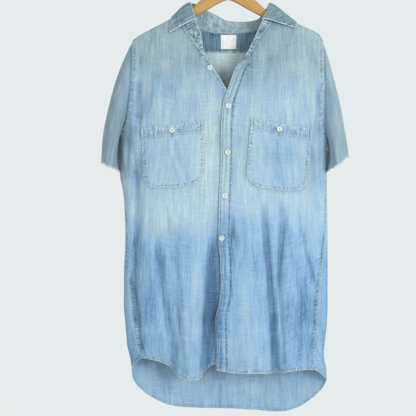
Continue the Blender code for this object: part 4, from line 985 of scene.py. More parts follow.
# %% Rows of the back
def back_rows(columns, arm_rows=70, rows=150, hem_rows=44):
    """Turns and drops of the back's grid, which slopes where the two underarms differ."""
    arm = [SHOULDER + (UNDERARM[s] - SHOULDER) * np.linspace(YOKE_SHARE, 1, arm_rows) for s in ("right", "left")]
    straight = np.linspace(UNDERARM["right"] + 6, LAST_ROW, rows)
    right, left = (np.concatenate([a, straight]) for a in arm)
    steps = np.linspace(0, 1, hem_rows)[1:]
    ends = [LAST_ROW + (SEAM_LOW[s] - LAST_ROW) * steps for s in ("right", "left")]
    right, left = np.concatenate([right, ends[0]]), np.concatenate([left, ends[1]])
    start, end = side_turn("right", right), side_turn("left", left)
    start = np.where(right <= UNDERARM["right"], 180 - start, start)
    end = np.where(left <= UNDERARM["left"], 180 - end, end)
    share = np.linspace(0, 1, columns)
    turns = rows_between(start, 360 - end, (right + left) / 2, columns)
    drops = right[:, None] + (left - right)[:, None] * share
    low = turns[-len(steps):]
    hem = smooth(BACK_HEM[:, 0], BACK_HEM[:, 1], low)
    hem[:, 0], hem[:, -1] = SEAM_LOW["right"], SEAM_LOW["left"]
    drops[-len(steps):] = LAST_ROW + (hem - LAST_ROW) * steps[:, None]
    return turns, drops


print("rows and columns", back_rows(176)[0].shape)

# %% Back
turns, drops = back_rows(176)
gathers = 1.5 * hills(body(turns, drops), (9, 60, 120), 30) * (1 - ease(drops, 215, 330))
points, facing = on_body(turns, drops, gathers)
piece = cloth("back_cloth", points, facing, [("top", 0, 0, (), 0.5, 0.2, NO_TRIM), ("low", *HEMMED, (4, 4)),
                                             ("first", 0, 0, (), 0.3, 0.3, NO_TRIM),
                                             ("last", 0, 0, (), 0.3, 0.3, NO_TRIM)], grain=0)
dress(piece, "back", "cloth_blue", outside, inside, flat=(0.66, 0.84), area=0.46, rests_on=["yoke"])

# %% Yoke
RIDGE_COLUMNS = 34       # along each shoulder seam
places = np.linspace(0, len(BACK_NECK) - 1, 74)
neck_x, neck_drop = (smooth(np.arange(len(BACK_NECK)), BACK_NECK[:, k], places) for k in (0, 1))
neck_turn = turn_at(neck_x, neck_drop, back=True)
ridge = np.linspace(TOP_DROP, SHOULDER, RIDGE_COLUMNS)
top_turn = np.concatenate([np.full(RIDGE_COLUMNS, 270.0), neck_turn, np.full(RIDGE_COLUMNS, 90.0)])
top_drop = np.concatenate([ridge[::-1], neck_drop, ridge])
top_x = body(top_turn, top_drop)[:, 0]
low_drop = {s: SHOULDER + (UNDERARM[s] - SHOULDER) * YOKE_SHARE for s in UNDERARM}
ends = [-float(column(ARMHOLE, 1, low_drop["left"])), float(column(ARMHOLE, 2, low_drop["right"]))]
low_x = ends[0] + (top_x - top_x[0]) / (top_x[-1] - top_x[0]) * (ends[1] - ends[0])
low = low_drop["left"] + (low_drop["right"] - low_drop["left"]) * (low_x - ends[0]) / (ends[1] - ends[0])
steps = np.linspace(0, 1, 30)[:, None]
drops = top_drop + (low - top_drop) * steps
turns = turn_at(top_x + (low_x - top_x) * steps, drops, back=True)
turns[0] = top_turn
turns[:, 0] = 180 + armhole_turn("left", drops[:, 0])
turns[:, -1] = 180 - armhole_turn("right", drops[:, -1])
points, facing = on_body(turns, drops)
from_seam = from_sides(points)["low"][0]
piece = cloth("yoke_cloth", points, facing, [("low", *FELLED, (4, 4)), ("top", *FELLED, (4, 4)),
                                             ("first", 0, 0, (1.5,), 0.2, 0.3, NO_TRIM),
                                             ("last", 0, 0, (1.5,), 0.2, 0.3, NO_TRIM)],
              extra_wear=1.2 * np.exp(-((from_seam - 2.5) / 2.4) ** 2), grain=0)
dress(piece, "yoke", "cloth_pale", outside, inside_yoke, flat=(0.45, 0.10), area=0.034, rests_on=["hanger_wood"])

# %% [markdown]
# ## Placket and pockets
# These lie on the fronts, so their points are the fronts' points moved out. A patch pocket has an outline
# that goes down one side, round the two low corners and up again. Its stitches are placed by their
# distance from that outline. Its top is a broad turned band, and years of washing have shrunk it into
# hard puckers.

# %% Outlines on the front
# top outer, top inner, low inner and low outer corners, as x and drop
POCKETS = {
    "left": ((-196.4, 395.7), (-56.3, 379.6), (-54.5, 518.0), (-191.5, 531.0)),
    "right": ((189.2, 398.0), (50.1, 374.0), (39.5, 522.5), (177.5, 536.5))}
POCKET_OUT = 1.9         # from the front to the pocket's outer face
POCKET_BAND = 20.0       # the turned band at its top
POCKET_CORNER = 0.22     # share of its width that each lower corner rounds off
POCKET_SAG = 5.0         # its lower edge sags this much in the middle


def pocket_grid(side, columns, rows):
    """Points of a pocket as x and drop, with round lower corners."""
    top_outer, top_inner, low_inner, low_outer = np.array(POCKETS[side])
    even = np.linspace(0, 1, columns)
    across = 0.6 * even + 0.4 * (0.5 - 0.5 * np.cos(np.pi * even))       # closer at the sides
    top = np.outer(1 - across, top_outer) + np.outer(across, top_inner)
    foot = np.outer(1 - across, low_outer) + np.outer(across, low_inner)
    near = np.minimum(across, 1 - across) / POCKET_CORNER
    raised = np.where(near < 1, 1 - np.sqrt(np.clip(1 - (1 - near) ** 2, 0, 1)), 0)
    foot[:, 1] += POCKET_SAG * np.sin(np.pi * across) - raised * POCKET_CORNER * abs(top_outer[0] - top_inner[0])
    return top[None] + (foot - top)[None] * np.linspace(0, 1, rows)[:, None, None]


def inset_line(line, by):
    """The same line, moved to its right by a distance."""
    way = np.gradient(line, axis=0)
    way /= np.linalg.norm(way, axis=1, keepdims=True)
    return line + np.stack([-way[:, 1], way[:, 0]], axis=1) * by


def shape_of(x, drop, out):
    """A place on the front, as x and drop, moved out by some millimetres."""
    return on_body(turn_at(x, drop), drop, out)


print("pocket grid", pocket_grid("left", 64, 66).shape)

# %% Pockets
# x, drop at both ends, half width, out
POCKET_CREASES = {
    "left": [(-134, 412, -126, 462, 4, 2.4), (-126, 455, -106, 516, 5, 3.0), (-119, 420, -112, 480, 5, -2.4),
             (-108, 470, -92, 516, 5, -2.2), (-170, 430, -160, 500, 8, 1.2), (-80, 440, -76, 510, 7, 1.2)],
    "right": [(66, 420, 74, 500, 7, 1.2), (84, 430, 82, 500, 6, -1.4), (100, 440, 104, 520, 7, -1.4),
              (150, 430, 140, 510, 7, 1.4), (120, 470, 134, 530, 5, 1.8), (108, 490, 124, 532, 5, -1.8)]}

POCKET_COLUMNS, POCKET_ROWS = 64, 66
BLUER = {"left": 0.0, "right": 0.06}

for side in ("left", "right"):
    grid = pocket_grid(side, POCKET_COLUMNS, POCKET_ROWS)
    outline = np.concatenate([grid[:, 0], grid[-1, 1:-1], grid[::-1, -1]])
    x, drop = grid[..., 0], grid[..., 1]
    flat = np.dstack([grid, 0 * x])
    distance, along = near_line(x, drop, outline)
    below_top, band_along = walked(flat, 0), walked(flat, 1)
    relief = seam_relief(distance, along, 7.0, 0.5, (1.4, 5.6), 0.8, 1) * ease(below_top, 2, 8)
    relief += 0.7 * (1 - ease(below_top, POCKET_BAND - 1, POCKET_BAND + 1))
    relief -= 0.5 * np.exp(-((below_top - POCKET_BAND + 2) / 1.2) ** 2) + 0.35 * np.exp(-(below_top - 2.0) ** 2)
    # three sizes of hard puckers on the band
    relief += 1.5 * ripple(band_along, 9.0, 2.0) * np.exp(-((below_top - 12) / 10) ** 2)
    relief += 0.8 * ripple(band_along + 0.6 * below_top, 6.2, 5.0) * np.exp(-((below_top - 10) / 9) ** 2)
    relief += 1.0 * hills(np.dstack([x, 0 * x, drop]), (12, 9, 9), 15) * np.exp(-((below_top - 11) / 10) ** 2)
    bow = creases(x, drop, np.array(POCKET_CREASES[side]))
    points, facing = shape_of(x, drop, POCKET_OUT + relief + bow)
    wear = seam_wear(distance, along, 6.0, 0.6, 1) + seam_wear(below_top, band_along, 18.0, 0.45, 2)
    blue, green = dye_masks(points)
    in_band = 1 - ease(below_top, POCKET_BAND - 2, POCKET_BAND + 3)
    near = np.maximum(1 - ease(distance, 5, 11), in_band)
    beside = np.where((below_top < POCKET_BAND + 3) & (distance > 7), band_along + 700, along)
    edge = np.minimum(distance, np.where(below_top < 30, np.abs(POCKET_BAND - below_top) + 0.6, 99))
    piece = cloth("pocket_%s_cloth" % side, points, facing, thick=0.9, extra_wear=wear,
                  masks=(blue + BLUER[side], green * 0.5), puckers=(edge, beside, near))
    dress(piece, "pocket_" + side, "cloth_pale", outside, inside, flat=(0.146, 0.152), area=0.0205,
          rests_on=["front_" + side])
    lines = [inset_line(outline, -1.4)[6:-6], inset_line(outline, -5.6)[9:-9]]
    for low in (2.2, POCKET_BAND - 2.2, POCKET_BAND - 5.0):
        row = [[np.interp(low, below_top[:, c], grid[:, c, k]) for k in (0, 1)] for c in range(POCKET_COLUMNS)]
        lines.append(np.array(row)[2:-2])
    SEWN["pocket_%s_cloth" % side] = []
    for line in lines:
        cells = np.array([np.argmin(np.hypot(x - px, drop - pd)) for px, pd in line])
        out_here = (POCKET_OUT + relief + bow).ravel()[cells]
        SEWN["pocket_%s_cloth" % side].append(shape_of(line[:, 0], line[:, 1], out_here + 0.1))

# %% Placket
PLACKET_TOP, PLACKET_END, PLACKET_WIDTH = 250.0, 944.0, 27.0
# place across it, half width, out
ROPES = ((5, 2.6, 0.9), (16, 3.0, 0.7), (22.5, 2.4, -1.3))
drops = np.linspace(PLACKET_TOP, PLACKET_END, 300)
edge = column(FRONT_EDGE, 2, drops)
share = np.linspace(0, 1, 25)
x = edge[:, None] + 0.2 + share * PLACKET_WIDTH
hem = smooth(FRONT_HEM["right"][:, 0], FRONT_HEM["right"][:, 1], x[-1])
drop = drops[:, None] + (hem[None] - drops[-1]) * ease(drops, 860, PLACKET_END)[:, None]
across = share * PLACKET_WIDTH
wave = 0.6 * ripple(drop, 8.0, 1.0) + 0.5 * ripple(drop + across, 13.0, 4.0) * np.sin(np.pi * share)
# ropes along it with a wandering furrow between them, and a second one beside its right row of stitches
wave = wave - 0.9 * np.exp(-((across - 10.5 - 2.5 * np.sin(drop / 31)) / 2.2) ** 2)
for place, half, push in ROPES:
    wave = wave + push * np.exp(-((across - place) / half) ** 2)
# below the last button its free edge curls under
curl = ease(drop, 640, 700) * (1 - ease(across, 1, 9)) * (1.6 + 1.4 * np.sin(drop / 23) + 0.8 * np.sin(drop / 9.7))
points, facing = shape_of(x + curl * 1.3, drop, 1.6 + wave - curl * 0.3)
right = PLACKET_WIDTH - across
near = np.maximum(1 - ease(right, 3, 8), 0.75 * (1 - ease(across, 3, 7)))
beside = np.where(right < 12, drop, drop + 900) * np.ones_like(x)
# painted shade in the furrow beside its right row of stitches and in the one in its middle, darker near its top
furrow_shade = 0.55 * np.exp(-((across - 22.5) / 2.6) ** 2) + 0.30 * np.exp(-((across - 10.5) / 1.8) ** 2)
furrow_shade = furrow_shade * (1 + 0.8 * (1 - ease(drop, 330, 420)))         # darker near its top
piece = cloth("placket_cloth", points, facing,
              [("first", 0, 0, (2.6,), 0.25, 0.55, (3, 4)), ("last", 0, 0, (2.6,), 0.35, 0.2, (3, 4)),
               ("low", *HEMMED, (3, 3))], thick=0.9, extra_fold_shade=furrow_shade,
              puckers=(np.minimum(across, right), beside, near))
dress(piece, "placket", "cloth_pale", placket_cloth, inside, flat=(0.027, 0.695), rests_on=["front_right"])

# %% [markdown]
# ## Sleeves
# Each sleeve is a tube from the armhole seam to its raw lower edge. The seam is a ring on the body; the
# edge is a flat oval, lower on the inside than on the outside. Rings between them follow a bend, so the
# sleeve swells out and falls. Drag folds run from the underarm.

# %% Sizes of the sleeves
# shares of the armhole's depth, the same as in the model's source
ARMHOLE_STEPS = (0, 0.012, 0.037, 0.067, 0.1, 0.2, 0.33, 0.48, 0.63, 0.77, 0.88, 0.95, 0.985, 1)
LAST_STEP = len(ARMHOLE_STEPS) - 1
# edge's middle, half width, front, back, outer and inner drop, swell outwards and to the front
SLEEVES = {"left": (-269.3, 21.0, 58.0, 46.0, 467.0, 489.0, 34.0, 16.0),
           "right": (249.8, 25.5, 56.0, 46.0, 453.0, 489.0, 13.0, 12.0)}


def bend(start, control, end, t):
    """A place on the curve from start to end that is pulled to a control point."""
    return (1 - t) ** 2 * start + 2 * t * (1 - t) * control + t * t * end


def unit(vectors):
    return vectors / np.maximum(np.linalg.norm(vectors, axis=-1, keepdims=True), 1e-9)


def ring_normals(grid):
    """Ways out of a tube, from its rings."""
    around = np.roll(grid, -1, axis=1) - np.roll(grid, 1, axis=1)
    normals = np.cross(around, np.gradient(grid, axis=0))
    facing = np.sign(((grid - grid.mean(axis=1, keepdims=True)) * normals).sum(axis=(1, 2)))
    return unit(normals * facing[:, None, None])


print("sleeve edges at x", [row[0] for row in SLEEVES.values()])

# %% Rings of a sleeve
SEAM_FALL = 3.0          # under the arm the cloth falls this much just outside the seam
SWELL_INNER, SWELL_RISE = 10.0, 14.0


def sleeve_rings(side, half=66, count=84):
    """Rings from the armhole seam to the edge, their ways out, and each column's angle."""
    sign = -1 if side == "left" else 1
    hem_x, half_width, front_deep, back_deep, outer_drop, inner_drop, swell_out, swell_front = SLEEVES[side]
    steps = smooth(np.arange(LAST_STEP + 1), ARMHOLE_STEPS, np.linspace(0, LAST_STEP, half))
    drop = SHOULDER + (UNDERARM[side] - SHOULDER) * steps
    front = np.stack([sign * armhole_turn(side, drop), drop])
    turn, drop = np.concatenate([front, np.stack([180 - front[0, -2:0:-1], drop[-2:0:-1]])], axis=1)
    edge, facing = on_body(turn, drop)
    along = np.roll(edge, -1, axis=0) - np.roll(edge, 1, axis=0)
    leave = unit(np.cross(along, facing))
    leave = -leave * np.sign((leave * (edge - edge.mean(axis=0))).sum(axis=1))[:, None]
    under = np.concatenate([steps, steps[-2:0:-1]])
    beside = ease(under, 0.6, 0.9)[:, None]
    start = edge + leave * 0.3 + facing * beside
    second = edge + leave * (3.0 - 2.4 * beside) + facing * beside * 1.6
    second[:, 2] -= SEAM_FALL * beside[:, 0]
    # the model's rings stand at even places of its own steps, so the hem's angles follow them
    down = np.linspace(0, LAST_STEP, half)
    angle = np.pi * np.concatenate([down, LAST_STEP + down[1:-1]]) / LAST_STEP
    deep = np.where(np.sin(angle) > 0, front_deep, back_deep)
    hem_drop = outer_drop + (inner_drop - outer_drop) * (1 - np.cos(angle)) / 2
    hem = np.stack([hem_x + sign * half_width * np.cos(angle), -deep * np.sin(angle), -hem_drop], axis=1)
    outer, inner = np.clip(np.cos(angle), 0, 1), np.clip(-np.cos(angle), 0, 1) ** 2
    control = (second + hem) / 2
    control[:, 0] += sign * (swell_out * outer + SWELL_INNER * inner)
    control[:, 1] -= swell_front * np.clip(np.sin(angle), 0, 1)
    control[:, 2] -= SWELL_RISE * outer * swell_out / SLEEVES["left"][6]
    falling = [bend(second, control, hem, t) for t in np.linspace(0, 1, count)[1:]]
    grid = np.array([start, (start + second) / 2, second] + falling)
    normals = ring_normals(grid)
    normals[:3] = unit(facing * (1 - beside) + normals[:3] * beside)
    return grid, normals, angle


print("rings and columns", sleeve_rings("left")[0].shape[:2])

# %% Sleeves
HEM_RINGS = {}           # side: the torn edge's points, the way down and the way out
WORN_PLACE = (229, -441)     # x and z of the worn place at the right underarm
for side in ("left", "right"):
    grid, normals, angle = sleeve_rings(side)
    down = walked(grid, 0)
    share = down / down[-1:]
    out = crumple(grid) * ease(share, 0, 0.15) + 0.8 * hills(grid, (18, 18, 60), 11) * ease(share, 0.05, 0.3)
    # a valley just outside the seam, and folds dragged down from it
    out -= 1.6 * np.exp(-((down - 5) / 4.0) ** 2)
    drag = np.sin(angle * 7 + 1.2 * np.sin(angle * 3) + share * 2.0)
    out += 1.6 * drag * ease(share, 0.06, 0.3) * (1 - 0.6 * share) * np.clip(np.sin(angle) + 0.5, 0, 1)
    # the raw edge curls and is torn unevenly
    out += 2.2 * hills(grid, (26, 26, 400), 12) * ease(share, 0.8, 1.0)
    grid = grid + normals * out[..., None]
    if side == "right":
        away = (grid[..., 0] - WORN_PLACE[0]) ** 2 + (grid[..., 2] - WORN_PLACE[1]) ** 2
        away = away + np.where(grid[..., 1] > -8, 1e6, 0)        # only on the front
        UNDERARM_WORN = grid.reshape(-1, 3)[away.argmin()] + (0, -1.5, 0)
        print("worn place at", UNDERARM_WORN.round(1))
    torn = (1.8 + 2.4 * hills(grid[-1], (9, 9, 900), 13) + 1.2 * hills(grid[-1], (3, 3, 900), 14)) \
        * ease(share, 0.88, 1.0)
    grid[..., 2] -= torn
    HEM_RINGS[side] = (grid[-1].copy(), unit(grid[-1] - grid[-3]), normals[-1].copy())
    closed = [np.concatenate([part, part[:, :1]], axis=1) for part in (grid, normals)]
    piece = cloth("sleeve_%s_cloth" % side, *closed, [("top", 0, 0, (), 0.5, 0.4, NO_TRIM),
                                                     ("low", 0, 0, (), 0.2, 0.9, NO_TRIM)], tube=True)
    dress(piece, "sleeve_" + side, "cloth_pale", sleeve_cloths[side], inside_sleeve, flat=(0.34, 0.22), area=0.042,
          rests_on=["front_" + side])

# %% [markdown]
# ## Collar
# The neckband stands round the neck and lies flat down both front edges. The leaf starts just above the
# band's free edge, turns over and falls outside. A line of points in space gives the free edge.

# %% Lines of the collar
# place along the neckline (0 left end, 3 left shoulder, 7 right shoulder, 10 right end), x, y, drop
ROLL = np.array([
    (0.0, -52.5, -33.5, 231.0), (0.6, -58.5, -33.0, 206.0), (1.25, -62.5, -31.0, 177.5),
    (1.9, -75.5, -25.0, 149.0), (2.45, -82.5, -13.0, 124.0), (3.0, -86.5, 0.0, 105.5),
    (3.5, -78.0, 13.0, 105.5), (4.0, -59.0, 21.0, 114.5), (4.5, -30.0, 25.0, 128.0),
    (5.0, 2.0, 26.5, 142.0), (5.5, 36.0, 26.0, 144.0), (6.0, 66.0, 22.5, 141.0),
    (6.5, 86.0, 14.0, 125.0), (7.0, 95.5, 0.0, 107.0), (7.5, 91.0, -13.0, 125.0),
    (8.1, 79.5, -25.5, 147.5), (8.8, 65.5, -31.5, 177.0), (9.5, 50.5, -34.5, 209.0),
    (10.0, 38.5, -35.0, 234.0)])
# place, turn, drop
LEAF_EDGE = np.array([
    (1.9, -37.1, 178.0), (2.25, -44.8, 166.0), (2.6, -56.3, 152.0), (3.0, -90.0, 138.0),
    (3.35, -125.8, 147.0), (4.0, -157.3, 178.0), (4.5, -170.1, 199.0), (5.0, -180.0, 207.0),
    (5.5, -189.3, 205.0), (6.0, -201.0, 188.0), (6.6, -221.4, 162.0), (7.0, -259.5, 148.0),
    (7.3, -281.8, 151.5), (7.7, -300.3, 159.0), (8.1, -313.3, 167.5)])
LEAF_THICK = 2.2
NECK_MIDDLE = np.array([2.0, -8.0, -150.0])


def roll_line(place):
    """The neckband's free edge, in millimetres."""
    x, y, drop = (smooth(ROLL[:, 0], ROLL[:, k], place) for k in (1, 2, 3))
    return np.stack([x, y, -drop], axis=-1)


def strip_normals(grid, inside):
    """Ways out of a strip, away from a point inside."""
    normals = unit(np.cross(np.gradient(grid, axis=1), np.gradient(grid, axis=0)))
    return normals * np.sign(((grid - inside) * normals).sum())


print("middle of the band's edge at the back", roll_line(5.0).round(1))

# %% Neckband
front_ends = {}
for side, place in (("left", 1), ("right", 2)):
    drops = np.linspace(TOP_DROP, BAND_END[side], 60)
    turns = turn_at(column(FRONT_EDGE, place, drops), drops)
    # the place runs evenly with the drop, as it does in the model
    front_ends[side] = np.array([turns, drops, 3 * (drops - 127) / (drops[-1] - 127)])
front_ends["left"][2] = 3 - front_ends["left"][2]
front_ends["right"][2] += 7
middle = np.array([neck_turn, neck_drop, 3 + 4 * np.linspace(0, 1, len(neck_turn))])
turn, drop, place = np.concatenate([front_ends["left"][:, ::-1], middle, front_ends["right"]], axis=1)
keep = np.concatenate([[True], np.linalg.norm(np.diff(body(turn, drop), axis=0), axis=1) > 0.4])
turn, drop, place = turn[keep], drop[keep], place[keep]
foot, facing = on_body(turn, drop)
top = roll_line(place)
foot = foot + unit(top - foot) * 0.4
grid = np.array([bend(top, (top + foot) / 2 + facing, foot, t) for t in np.linspace(0, 1, 16)])
normals = strip_normals(grid, NECK_MIDDLE)
along = walked(grid, 1)
relief = 0.9 * hills(grid, (8, 8, 8), 21) + 0.8 * ripple(along + 4 * hills(grid, (9, 9, 9), 25), 9.5, 1.0)
frayed = 0.6 * np.clip(hills(grid, (5, 5, 5), 22) + 0.25, 0, 1)
across = walked(grid, 0)
side_gap = np.minimum(across, across[-1:] - across)
blue, green = dye_masks(grid)
on_fronts = (place < 2.4) | (place > 7.6)
BAND_EDGE = np.concatenate([(grid[row] + normals[row])[on_fronts] for row in (0, -1)])      # where fuzz grows
piece = cloth("neckband_cloth", grid + normals * relief[..., None], normals,
              [("top", 0, 0, (2.0,), 0.3, 0.9, (4, 4)), ("low", 0, 0, (1.8,), 0.35, 0.55, (4, 4))],
              thick=1.2, masks=(blue + 0.1, green), extra_wear=frayed,
              puckers=(side_gap, along, 0.8 + 0 * along))
dress(piece, "neckband", "cloth_pale", band_cloth, inside_band, flat=(0.50, 0.030), area=0.0128, rests_on=["yoke"])

# %% Collar leaf
WORN_EDGE = (6.0, 0.3, (5.0,))
place = np.linspace(LEAF_EDGE[0, 0], LEAF_EDGE[-1, 0], 150)
roll = roll_line(place)
turn, drop = (smooth(LEAF_EDGE[:, 0], LEAF_EDGE[:, k], place) for k in (1, 2))
edge = body(turn, drop) + body_normal(turn, drop) * (LEAF_THICK + 2.0)
along = np.gradient(roll, axis=0)
outward = unit(np.stack([along[:, 1], -along[:, 0], np.zeros(len(place))], axis=1))
outward *= np.sign((outward * (roll - NECK_MIDDLE)).sum(axis=1, keepdims=True))
along = unit(along)
up = unit(np.array([0.0, 0.0, 1.0]) - along * along[:, 2:])
begin = roll + up * (LEAF_THICK + 1.2) - outward * 1.5
control = roll + up * (LEAF_THICK + 5.0) + outward * 10.0
grid = np.array([bend(begin, control, edge, t) for t in np.linspace(0, 1, 40)])
normals = strip_normals(grid, NECK_MIDDLE - np.array([0, 0, 60.0]))
relief = 0.45 * hills(grid, (14, 14, 14), 23) + 0.2 * hills(grid, (6, 6, 6), 24)
piece = cloth("collar_leaf_cloth", grid + normals * relief[..., None], normals,
              [("low", *WORN_EDGE, 0.4, 0.8, (6, 6)), ("first", *WORN_EDGE, 0.3, 0.8, (1, 6)),
               ("last", *WORN_EDGE, 0.3, 0.8, (1, 6)), ("top", 0, 0, (), 0.3, 0.8, NO_TRIM)], thick=1.3)
dress(piece, "collar_leaf", "cloth_pale", collar_cloth, inside, flat=(0.52, 0.062), area=0.027, held="folded",
      rests_on=["neckband"])

# %% [markdown]
# ## Label
# A small woven patch on the inside of the yoke. It stays bare. Its edge is turned under and its corners
# have lifted a little.

# %% Label
label_x, label_drop = np.meshgrid(np.linspace(-16.3, 19.9, 30), np.linspace(173, 205, 28))
turns = turn_at(label_x, label_drop, back=True)
points, facing = on_body(turns, label_drop, -1.9)
facing = -facing
sides = from_sides(points)
near = np.minimum.reduce([distance for distance, _ in sides.values()])
relief = 0.35 * hills(points, (9, 9, 9), 31) + 0.3 * np.exp(-(near / 2.0) ** 2)
relief = relief - 0.3 * np.exp(-((near - 2.4) / 0.8) ** 2)
label = cloth("label_patch", points + facing * relief[..., None], facing, thick=0.5,
              masks=(0 * relief, 0 * relief), extra_wear=np.exp(-(near / 1.2) ** 2))
mat, tree, shader = plain_material("woven_white", (0.78, 0.79, 0.77), 0.7)
uv = add(tree, "UVMap", uv_map="cloth").outputs[0]
rib = add(tree, "Group", {"Vector": uv, "Threads": 2200}, node_tree=weave)
grime = calc(tree, "ADD", stretched(tree, uv, (120, 90), 4), calc(tree, "MULTIPLY", rib.outputs["Tone"], 0.3))
whites = [(0.2, (0.50, 0.53, 0.53)), (0.5, (0.60, 0.62, 0.62)), (0.8, (0.68, 0.70, 0.69))]
raised = add(tree, "Bump", {"Height": rib.outputs["Height"], "Strength": 0.3, "Distance": 0.0006}).outputs[0]
fill(tree, shader, {"Base Color": ramp(tree, grime, whites), "Normal": raised})
dress(label, "label", "label", mat, mat, flat=(0.036, 0.032), held="laid", rests_on=["yoke_cloth"])

# %% [markdown]
# ## Buttons
# Seven pressed buttons with a raised rim, a dished middle and four holes, about 12.5 mm across. One is
# spun from its profile, its holes are cut with a Boolean, and copies of it are turned to face out of the
# cloth. Thread crosses in the holes.

# %% Button shape
# node, x, drop, how far its back stands off the shirt
BUTTONS = (("button_front_1", -41.8, 259.4, 0.9), ("button_front_2", -0.3, 346.4, 2.2),
           ("button_front_3", -2.2, 450.4, 2.2), ("button_front_4", -8.5, 548.0, 2.2),
           ("button_front_5", -14.7, 642.0, 2.2), ("button_pocket_left", -126.0, 401.1, 3.2),
           ("button_pocket_right", 113.8, 398.4, 3.2))
# half of a button's section: radius, height
PROFILE = [(0, 0), (4.4, 0), (5.6, 0.35), (6.15, 0.95), (6.2, 1.4), (6.0, 1.9), (5.5, 2.25), (4.9, 2.4),
           (4.3, 2.25), (3.9, 1.9), (3.5, 1.75), (2.4, 1.68), (0, 1.66)]
HOLE_RADIUS, HOLE_PLACE = 0.5, 1.05


def spun(profile, steps=40):
    """A profile spun round the upright axis."""
    bm = bmesh.new()
    verts = [bm.verts.new((r * MM, 0, h * MM)) for r, h in profile]
    edges = [bm.edges.new(pair) for pair in zip(verts, verts[1:])]
    bmesh.ops.spin(bm, geom=verts + edges, axis=(0, 0, 1), cent=(0, 0, 0), angle=math.tau, steps=steps,
                   use_merge=True)
    bmesh.ops.remove_doubles(bm, verts=bm.verts, dist=1e-6)
    bmesh.ops.recalc_face_normals(bm, faces=bm.faces)
    return bm


blank = put(spun(PROFILE), "button_blank")
drill = bmesh.new()
for hx, hy in ((1, 1), (-1, 1), (-1, -1), (1, -1)):
    place = Matrix.Translation((hx * HOLE_PLACE * MM, hy * HOLE_PLACE * MM, MM))
    bmesh.ops.create_cone(drill, cap_ends=True, segments=12, radius1=HOLE_RADIUS * MM, radius2=HOLE_RADIUS * MM,
                          depth=8 * MM, matrix=place)
drill = put(drill, "button_drill")
cut = blank.modifiers.new("holes", "BOOLEAN")
cut.object, cut.solver = drill, "EXACT"
button_mesh = bpy.data.meshes.new_from_object(blank.evaluated_get(bpy.context.evaluated_depsgraph_get()))
for spare in (blank, drill):
    bpy.data.objects.remove(spare)
button_mesh.polygons.foreach_set("use_smooth", [True] * len(button_mesh.polygons))
button_mesh.set_sharp_from_angle(angle=math.radians(50))
print("a button has", len(button_mesh.polygons), "faces")

# %% Buttons
shell, tree, shader = plain_material("pressed_button", (0.70, 0.73, 0.70), 0.32, coat=0.25)
cloud = clouded(tree, shader, 260.0, 4.0,
                [(0.25, (0.36, 0.42, 0.41)), (0.5, (0.45, 0.52, 0.51)), (0.75, (0.53, 0.60, 0.59))])
fill(tree, shader, {"Roughness": calc(tree, "ADD", 0.2, calc(tree, "MULTIPLY", cloud, 0.3)),
                    "Subsurface Weight": 0.15, "Subsurface Scale": 0.001})


def facing_out(normal):
    """A turn from upright to this way out."""
    return Vector((0, 0, 1)).rotation_difference(Vector(normal)).to_matrix()


BUTTON_SPOTS = {}
for name, x, drop, out in BUTTONS:
    turn = turn_at(x, drop)
    seat, normal = on_body(turn, drop, out)
    BUTTON_SPOTS[name] = (seat, normal)
    mesh = button_mesh.copy()
    mesh.transform(Matrix.Translation(Vector(seat) * MM) @ facing_out(normal).to_4x4() @ Matrix.Rotation(x, 4, "Z"))
    dress(in_scene(name + "_shell", mesh), name, "button", shell)

# %% [markdown]
# ## Stitches
# Every row of stitches that was noted while the sheets were made is now sewn. One stitch is a small
# stretched ball, laid along its line and half sunk in the cloth. Buttonholes are worked the same way,
# with stitches laid across a slit.

# %% Stitch makers
STITCH, STITCH_GAP, STITCH_WIDE = 2.4, 1.0, 0.34
SHORTEST = 0.5           # a shorter stitch would be where a line breaks


def stitch(bm, middle, along, out, size):
    """One stitch, a small ball stretched along the seam. size: half its length, width and height."""
    x, z = Vector(along).normalized(), Vector(out).normalized()
    y = z.cross(x).normalized()
    z = x.cross(y)
    turn = Matrix((x, y, z)).transposed().to_4x4()
    place = Matrix.Translation(Vector(middle) * MM) @ turn @ Matrix.Diagonal((*[s * MM for s in size], 1))
    bmesh.ops.create_icosphere(bm, subdivisions=1, radius=1, matrix=place)


def sew(bm, spots, outs):
    """Stitches along a line."""
    way = walked(np.asarray(spots)[None], 1)[0]

    def at(values, place):
        return np.array([np.interp(place, way, values[:, k]) for k in range(3)])

    for number in range(int(way[-1] // (STITCH + STITCH_GAP))):
        centre = (number + 0.5) * (STITCH + STITCH_GAP)
        start, end = at(spots, centre - STITCH / 2), at(spots, centre + STITCH / 2)
        if np.linalg.norm(end - start) >= SHORTEST:
            stitch(bm, (start + end) / 2, end - start, at(outs, centre), (STITCH / 2, STITCH_WIDE, STITCH_WIDE))


print("a stitch every", STITCH + STITCH_GAP, "mm")

# %% Sewing
thread, tree, shader = plain_material("sewing_thread", (0.45, 0.56, 0.60), 0.75)
clouded(tree, shader, 60.0, 3.0, [(0.3, (0.13, 0.24, 0.36)), (0.5, (0.26, 0.38, 0.46)), (0.7, (0.42, 0.51, 0.54))])

for name, lines in SEWN.items():
    lines = [line for line in lines if len(line[0]) > 3]
    if lines:
        bm = bmesh.new()
        for spots, outs in lines:
            sew(bm, spots, outs)
        dress(put(bm, name.replace("_cloth", "") + "_stitches"), None, "thread", thread)

